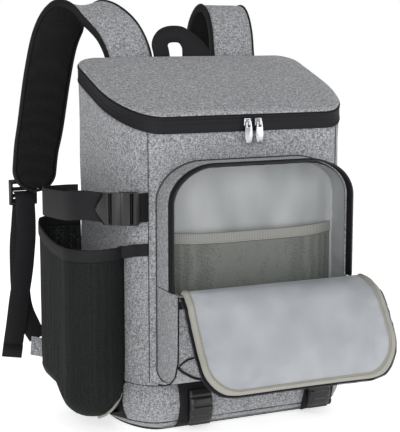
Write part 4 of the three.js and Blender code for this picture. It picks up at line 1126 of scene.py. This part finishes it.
def wall_x(y, z):
    """The X of the left wall of the body at that place."""
    if y < FRONT + CORNER_BACK:
        share = min((FRONT + CORNER_BACK - y) / CORNER_BACK, 1.0)
        x = HALF_WIDTH - CORNER_ACROSS + CORNER_ACROSS * math.sqrt(1 - share * share)
    else:
        past = max(y - (BACK - BACK_CORNER), 0.0)
        x = HALF_WIDTH - BACK_CORNER + math.sqrt(max(BACK_CORNER**2 - past**2, 0.0))
    return -x - puff_at(z / MM) * 0.007


def side_plan(grow):
    r = LOBE_RADIUS + grow
    turn = [math.radians(between(342, 180, i / 30)) for i in range(31)]
    points = [(-0.1462, LOBE_FRONT + LOBE_RADIUS * math.sin(turn[0]) - grow)]
    points += [(LOBE_X + r * math.cos(a), LOBE_FRONT + r * math.sin(a)) for a in turn]
    points += [
        (LOBE_X - r - 0.004 * t * (1 - t), between(LOBE_FRONT, LOBE_BACK, t)) for t in (0.2, 0.4, 0.6, 0.8)
    ]
    turn = [math.radians(between(180, 76.8, i / 20)) for i in range(21)]
    points += [(LOBE_X + r * math.cos(a), LOBE_BACK + r * math.sin(a)) for a in turn]
    return points + [(-0.1562, 0.0719 + grow)]


side_path = measured(side_plan(0.0))


def rim_height(y):
    return between(0.2285, 0.248, min(max((y - FRONT - 0.0455) / 0.105, 0.0), 1.0) ** 2.2)


def net_bottom(y):
    return between(0.0205, 0.040, ease((y - FRONT - 0.0505) / 0.045))


def side_point(across, along):
    (x, y), (dx, dy) = walk(side_path, across)
    out = Vector((-dy, dx))
    if along < 0.3:
        inward, up = row_at(ROUND_ROWS, max(along - 0.06, 0.0) / 0.24)
        x, y = x - out.x * inward * ROUND_IN, y - out.y * inward * ROUND_IN
        z = net_bottom(y) + up * ROUND_UP
        wall = wall_x(y, z) + 0.0012
        x = between(wall, min(x, wall), min(along / 0.06, 1.0))
        return (x, y, z)
    t = (along - 0.3) / 0.7
    z = between(net_bottom(y) + ROUND_UP, rim_height(y) - 0.0142, t)
    edge = min(1.0, across * 12, (1 - across) * 12)
    gather = 0.0009 * ripple((across * 3.0, 0, z * 0.9), 0.05, 9.0) * (1 - 0.7 * t) * edge - 0.0004
    return (min(x + out.x * gather, wall_x(y, z) + 0.0012), y + out.y * gather, z)


side_net_bag = lay_cloth("side_net_bag", 170, 90, side_point, (0.33, 0.24))
apply_modifier(side_net_bag, "SOLIDIFY", thickness=0.0008, offset=0)
dress(side_net_bag, side_net, "black_mesh", "side_pocket_mesh")


def dark_corner_sheet_point(across, along):
    y = between(-0.014, -0.061, across)
    z = between(between(0.009, 0.0135, across), between(0.010, 0.040, across), along)
    return (wall_x(y, z) - 0.0012, y, z)


# A plain black sheet against the wall fills the corner under the lobe, where it is dark.
dark_corner_sheet = lay_cloth("pocket_dark_corner_sheet", 20, 10, dark_corner_sheet_point, (0.05, 0.03))
dress(dark_corner_sheet, binding_tape, "black_webbing")
FOOT_STRIP = [
    (-0.188, -0.072, 0.0235), (-0.1795, -0.0765, 0.0275), (-0.170, -0.0765, 0.0345),
    (-0.160, -0.070, 0.0425), (-0.1545, -0.0635, 0.0475),
]
foot_strip = lay_cord(
    "pocket_foot_strip", [along_rows(FOOT_STRIP, i / 30) for i in range(31)], 0.0016, sides=4
)
dress(foot_strip, binding_light, "light_binding")

# %% [markdown]
# A black elastic 15 mm tall binds the rim of the net and goes on over the body's front corner to the
# upright seam. Its profile is a flat tube with a sewn line near its lower edge.

# %% Elastic rim
seam_share = share_on_front(-SEAM_X)
wall_points = [plan_at(seam_share - i * 0.002, 0.0015)[:2] for i in range(20)]
rim_points = [point for point in wall_points if point[0] > -0.140]
rim_points += [(x, y) for x, y in side_plan(0.0004)[5:]]
rim_path = measured(rim_points)
RIM_PROFILE = [
    (0.3, -0.9), (0.3, 0.6), (1.4, 0.9), (2.0, 0.6), (2.6, 0.9), (7, 1.0), (13, 0.9), (14.8, 0.5),
    (15.0, 0.0), (14.8, -0.8), (12, -1.0), (3, -1.0), (0.3, -0.9),
]


def rim_point(across, along):
    (x, y), (dx, dy) = walk(rim_path, along)
    up, lift = nearest(RIM_PROFILE, across)
    lift = lift * MM + 0.0004
    top = rim_height(y) + 0.004 * min(max((x + 0.150) / 0.0236, 0.0), 1.0) * (1 if y < 0 else 0)
    return (x - dy * lift, y + dx * lift, top - 0.015 + up * MM)


side_rim = lay_cloth(
    "side_pocket_elastic_rim", len(RIM_PROFILE) - 1, 150, rim_point, (0.032, 0.31), caps=True
)
dress(side_rim, elastic_black, "black_webbing", "side_pocket_binding")

# %% [markdown]
# Straps of webbing have a flat section with slightly rounded edges. The section is carried along a smooth
# path, with its width kept along a given direction, and the UV map runs across and along it in metres.

# %% Webbing helper
WEBBING_SECTION = [
    (-1, -0.3), (-0.94, -0.5), (0, -0.5), (0.94, -0.5), (1, -0.3), (1, 0.3), (0.94, 0.5), (0, 0.5),
    (-0.94, 0.5), (-1, 0.3), (-1, -0.3),
]


def webbing(name, rows, width, thickness, wide, steps=60, smooth=True, taper=None):
    """Webbing along rows of (X, Y, Z) in millimetres. wide is the direction of its width."""
    if smooth:
        rows = [along_rows(rows, i / steps) for i in range(steps + 1)]
    stops = [Vector(row) * MM for row in rows]
    steps = len(stops) - 1
    length = sum((b - a).length for a, b in zip(stops, stops[1:]))

    def place(across, along):
        i = min(round(along * steps), steps)
        ahead = (stops[min(i + 1, steps)] - stops[max(i - 1, 0)]).normalized()
        side = Vector(wide(i / steps) if callable(wide) else wide)
        side = (side - ahead * side.dot(ahead)).normalized()
        out = ahead.cross(side)
        s, t = nearest(WEBBING_SECTION, across)
        half = (taper(i / steps) if taper else width) / 2
        return stops[i] + side * s * half * MM + out * t * thickness * MM

    return lay_cloth(name, 10, steps, place, (width * 2 * MM, length), caps=True)

# %% [markdown]
# The side strap goes from the side buckle round both lobes of the pocket to the back of the bag. Its anchor
# is a short strap from the front seam to the buckle. Both tables follow the CAD, in millimetres.

# %% Side strap and its anchor
SIDE_STRAP = [
    (-178, -93.6, 277.7), (-178.2, -88, 277.8), (-181, -85.6, 278.3), (-190.2, -83.4, 280),
    (-201.2, -75, 281), (-209.7, -63, 280), (-214.2, -46, 277.5), (-215.2, -20, 275), (-215.2, 15, 272.5),
    (-214.2, 43, 270.5), (-207.2, 64, 269.5), (-191.7, 74.5, 268.5), (-172, 75.5, 268.5),
    (-159, 72.5, 268.5),
]
side_strap = webbing("side_strap_webbing", SIDE_STRAP, 34.5, 1.6, (0, 0, 1), steps=90)
dress(side_strap, polyester_webbing, "black_webbing", "side_strap")
ANCHOR = [
    (-127, -84.8, 275.5), (-134, -86.2, 275.5), (-147, -86.2, 275.5), (-150.2, -86.9, 275.5),
    (-151, -89, 275.5), (-151, -93.6, 275.5),
]
side_anchor = webbing("side_anchor_webbing", ANCHOR, 34.5, 1.6, (0, 0, 1), steps=30)
dress(side_anchor, polyester_webbing, "black_webbing", "side_strap_anchor")

# %% [markdown]
# The shoulder straps are foam pads: heather cloth outside, air mesh towards the back of the wearer, and a
# black binding round the edge. Each half of the pad is laid as a closed, slightly crowned section along the
# strap's centre line.

# %% Shoulder straps
LEFT_STRAP = [
    (-76, 97.35, 412, 0), (-76.5, 103, 446, 0), (-86.5, 115, 477, 0), (-104, 133, 498.5, 0),
    (-122, 149, 505.5, 0.04), (-140, 163, 496.5, 0), (-154, 170, 469, -0.08), (-166.5, 168, 420, -0.15),
    (-180, 160, 355, -0.15), (-187.4, 156, 325, -0.15), (-192, 152, 296, -0.15),
]
RIGHT_STRAP = [
    (75, 97.35, 412, 0), (74.5, 104, 446, 0), (78, 117, 477, 0), (80, 133, 499, 0), (79, 149, 506.5, 0),
    (74, 163, 498, 0), (69, 170, 470, 0), (76, 168, 432, 0.1), (98, 161, 360, 0.2),
    (112.5, 156, 325, 0.15), (117, 152, 296, 0.15),
]
PAD_ROUND = 0.024


def strap_frames(rows, steps):
    stops = [along_rows(rows, i / steps) for i in range(steps + 1)]
    frames = []
    for i, row in enumerate(stops):
        spot = Vector(row[:3]) * MM
        ahead = (Vector(stops[min(i + 1, steps)][:3]) - Vector(stops[max(i - 1, 0)][:3])).normalized()
        side = Vector((1, 0, row[3]))
        side = (side - ahead * side.dot(ahead)).normalized()
        frames.append((spot, ahead, side, side.cross(ahead)))
    return frames


def strap_half(share):
    return 0.028 * between(1, 0.92, ease((share - 0.7) / 0.3))


def strap_layer(name, frames, section):
    """section is a closed ring of (across -1 to 1, height in millimetres). The lower end is rounded off."""
    steps = len(frames) - 1
    stations = [(*frame, strap_half(i / steps)) for i, frame in enumerate(frames)]
    spot, ahead, side, out = frames[-1]
    for k in range(1, 13):
        angle = math.radians(7.2 * k)
        stations.append(
            (spot + ahead * PAD_ROUND * math.sin(angle), ahead, side, out, strap_half(1) * math.cos(angle))
        )

    def place(across, along):
        spot, ahead, side, out, half = nearest(stations, along)
        s, t = nearest(section, across)
        life = 0.0005 * ripple(spot + side * s * half, 0.05, 4.0) if abs(t) > 4 else 0.0
        return spot + side * s * half + out * (t * MM + life)

    return lay_cloth(name, len(section) - 1, len(stations) - 1, place, (0.12, 0.5), caps=True)


def crowned(low, edge, crown, sign=1):
    upper = [
        (s, sign * (edge + (crown - edge) * (1 - abs(s) ** 3))) for s in [x / 8 for x in range(8, -9, -1)]
    ]
    ring = [(-1, sign * low), (0, sign * low), (1, sign * low)] + upper
    ring.append(ring[0])
    return ring if sign > 0 else ring[::-1]


def strap_edging(name, frames):
    """The binding: a soft flat tube down one edge, round the lower end and up the other edge."""
    steps = len(frames) - 1
    section = [
        (0.0, -4.6), (1.6, -6.6), (3.0, -4.2), (3.7, 0), (3.0, 4.2), (1.6, 6.6), (0.0, 4.6), (-0.3, 0)
    ]
    stations = [(f, -strap_half(i / steps) - 0.0003, -1, 0.0) for i, f in enumerate(frames)]
    end = frames[-1]
    rim = strap_half(1.0) + 0.0003
    turn = 22
    for k in range(1, turn):
        stations.append((end, rim, 0, math.pi * k / turn))
    stations += [(f, strap_half(i / steps) + 0.0003, 1, 0.0) for i, f in reversed(list(enumerate(frames)))]

    def place(across, along):
        (spot, ahead, side, out), reach, sign, angle = nearest(stations, along)
        s, t = section[round(across * 8) % 8]
        if sign:
            base, outward = spot + side * reach, side * sign
        else:
            outward = (side * -math.cos(angle) + ahead * math.sin(angle)).normalized()
            base = spot + side * -math.cos(angle) * rim + ahead * (math.sin(angle) * (PAD_ROUND + 0.0006))
        return base + outward * s * MM + out * t * MM

    return lay_cloth(name, 8, len(stations) - 1, place, (0.024, 1.0), caps=True)


for side_name, rows in (("left", LEFT_STRAP), ("right", RIGHT_STRAP)):
    frames = strap_frames(rows, 84)
    outer = strap_layer(f"strap_pad_{side_name}", frames, crowned(-2.0, 4.9, 6.3))
    dress(outer, heather_polyester, "heather_cloth", f"shoulder_strap_{side_name}")
    inner = strap_layer(f"strap_air_mesh_{side_name}", frames, crowned(2.3, 4.6, 6.0, sign=-1))
    dress(inner, air_mesh, "black_mesh", f"strap_mesh_{side_name}")
    edging = strap_edging(f"strap_edging_{side_name}", frames)
    dress(edging, binding_tape, "black_webbing", f"strap_binding_{side_name}")

# %% [markdown]
# Under each pad a ladder lock holds a webbing strap: one end hangs loose and ends in a sewn hem, the other
# runs to a cloth tab at the bag's lower back corner.

# %% Webbing of the shoulder straps
LEFT_TAIL = [
    (-206, 161.6, 267.9), (-206, 156.6, 267.1), (-205.5, 152.5, 256.5), (-206, 148.5, 217.5),
    (-211.5, 139.5, 185.5), (-217, 131.5, 163), (-225.5, 123, 131), (-232.5, 115.5, 100),
    (-238.5, 110, 75), (-241.5, 108.5, 59),
]
RIGHT_TAIL = [
    (122, 161.6, 267.9), (122, 156.6, 267.1), (122, 152.7, 256.5), (120.5, 146, 214.5), (116, 131, 163),
    (111, 117.5, 125), (108, 108.5, 92), (107, 105, 72), (107, 104.5, 59),
]
LEFT_RUN = [
    (-206, 159.2, 258.5), (-206, 164.1, 256.5), (-206.5, 164.6, 247.5), (-210, 160, 224.5),
    (-216, 150, 187.5), (-217, 140, 126), (-211, 124, 97), (-204, 111.9, 80),
]
RIGHT_RUN = [
    (122, 159.4, 258.7), (122, 164.1, 256.5), (124, 164.9, 247.5), (126, 160, 224.5), (130, 150, 187.5),
    (134, 140, 126), (138, 124, 97), (140, 109.7, 80),
]
for side_name, tail, run in (("left", LEFT_TAIL, LEFT_RUN), ("right", RIGHT_TAIL, RIGHT_RUN)):
    tail_web = webbing(f"tail_webbing_{side_name}", tail, 26, 1.8, (1, 0, 0))
    dress(tail_web, polyester_webbing, "black_webbing", f"strap_tail_{side_name}")
    tail_path = [tuple(v * MM for v in row) for row in tail]
    tail_length = round(measured(tail_path)[1][-1], 3)
    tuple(tail_path[0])
    low = [(x, y - 1.6, z) for x, y, z in tail[-2:]]
    hem = webbing(f"tail_hem_{side_name}", [low[0], low[1]], 26, 1.4, (1, 0, 0), steps=6, smooth=False)
    dress(hem, polyester_webbing, "black_webbing")
    run_web = webbing(f"run_webbing_{side_name}", run, 26, 1.8, (1, 0, 0))
    dress(run_web, polyester_webbing, "black_webbing", f"strap_anchor_web_{side_name}")
    tab = copy_with_round_edges(f"strap_tab_{side_name}", f"corner_tab_{side_name}", 0.0007)
    dress(tab, heather_polyester, "heather_cloth", f"strap_tab_{side_name}")

# %% [markdown]
# The carry handle is one length of thick webbing sewn into the back seam. It leans back and a little to one
# side, as it does after it has been used.

# %% Carry handle
HANDLE = [
    (-31.5, 94.2, 424), (-32, 94.1, 437), (-34, 94.3, 451), (-35.5, 95.5, 461.5), (-29, 98, 470.5),
    (-18, 100, 474), (-3, 101, 473), (7.5, 100, 465), (13.5, 97, 455), (17.4, 94.9, 442), (19, 94.4, 424),
]


def handle_side(share):
    i = share * 60
    a, b = (Vector(along_rows(HANDLE, min(max((i + k) / 60, 0), 1))) for k in (-1, 1))
    ahead = (b - a).normalized()
    return ahead.cross(Vector((0, -1, 0.15)))


def handle_width(share):
    return between(22, 42, ease((share - 0.62) / 0.3))


handle = webbing("handle_webbing", HANDLE, 22, 4, handle_side, taper=handle_width)
dress(handle, polyester_webbing, "black_webbing", "carry_handle")

# %% [markdown]
# Two short straps come out of the seam under the front pocket, bulge over the puffed base and turn under
# it. A ribbed buckle sits on each.

# %% Base straps
BUCKLE_SECTION = [
    (-1, 0), (-1, 0.55), (-0.97, 0.85), (-0.88, 1), (-0.5, 1.03), (0, 1.04), (0.5, 1.03), (0.88, 1),
    (0.97, 0.85), (1, 0.55), (1, 0),
]


def buckle_point(middle):
    def place(across, along):
        z = between(8.2, 52.8, along)
        crown = 1 - (2 * along - 1) ** 2
        groove = 1.3 * max(0.0, math.sin(along * math.pi * 8.0)) ** 3 * min(1.0, crown * 3)
        thick = 3.2 + 7.0 * crown - groove
        half = 15.0 - 1.2 * (1 - crown) ** 2
        s, t = nearest(BUCKLE_SECTION, across)
        return ((middle + s * half) * MM, (-100.7 - t * thick) * MM, z * MM)

    return place


for side_name, x, sign in (("left", -72, 1), ("right", 99, -1)):
    rows = []
    for z in (3.2, 5, 8, 12, 16, 20, 25, 30, 35, 40, 45, 50, 54, 58.5):
        tuck = 0.09 * max(12 - z, 0) ** 2
        splay = 4 * max(1 - z / 12, 0)
        rows.append((x - sign * splay, -90.5 - 1.9 - puff_at(z) * 7 + tuck, z))
    strap = webbing(f"base_webbing_{side_name}", rows, 42, 1.6, (1, 0, 0), steps=40)
    dress(strap, polyester_webbing, "black_webbing", f"bottom_strap_{side_name}")
    buckle = lay_cloth(
        f"base_buckle_{side_name}", 10, 60, buckle_point(x + sign * 3.5), (0.04, 0.045), caps=True
    )
    dress(buckle, acetal, "black_plastic", f"bottom_buckle_{side_name}")
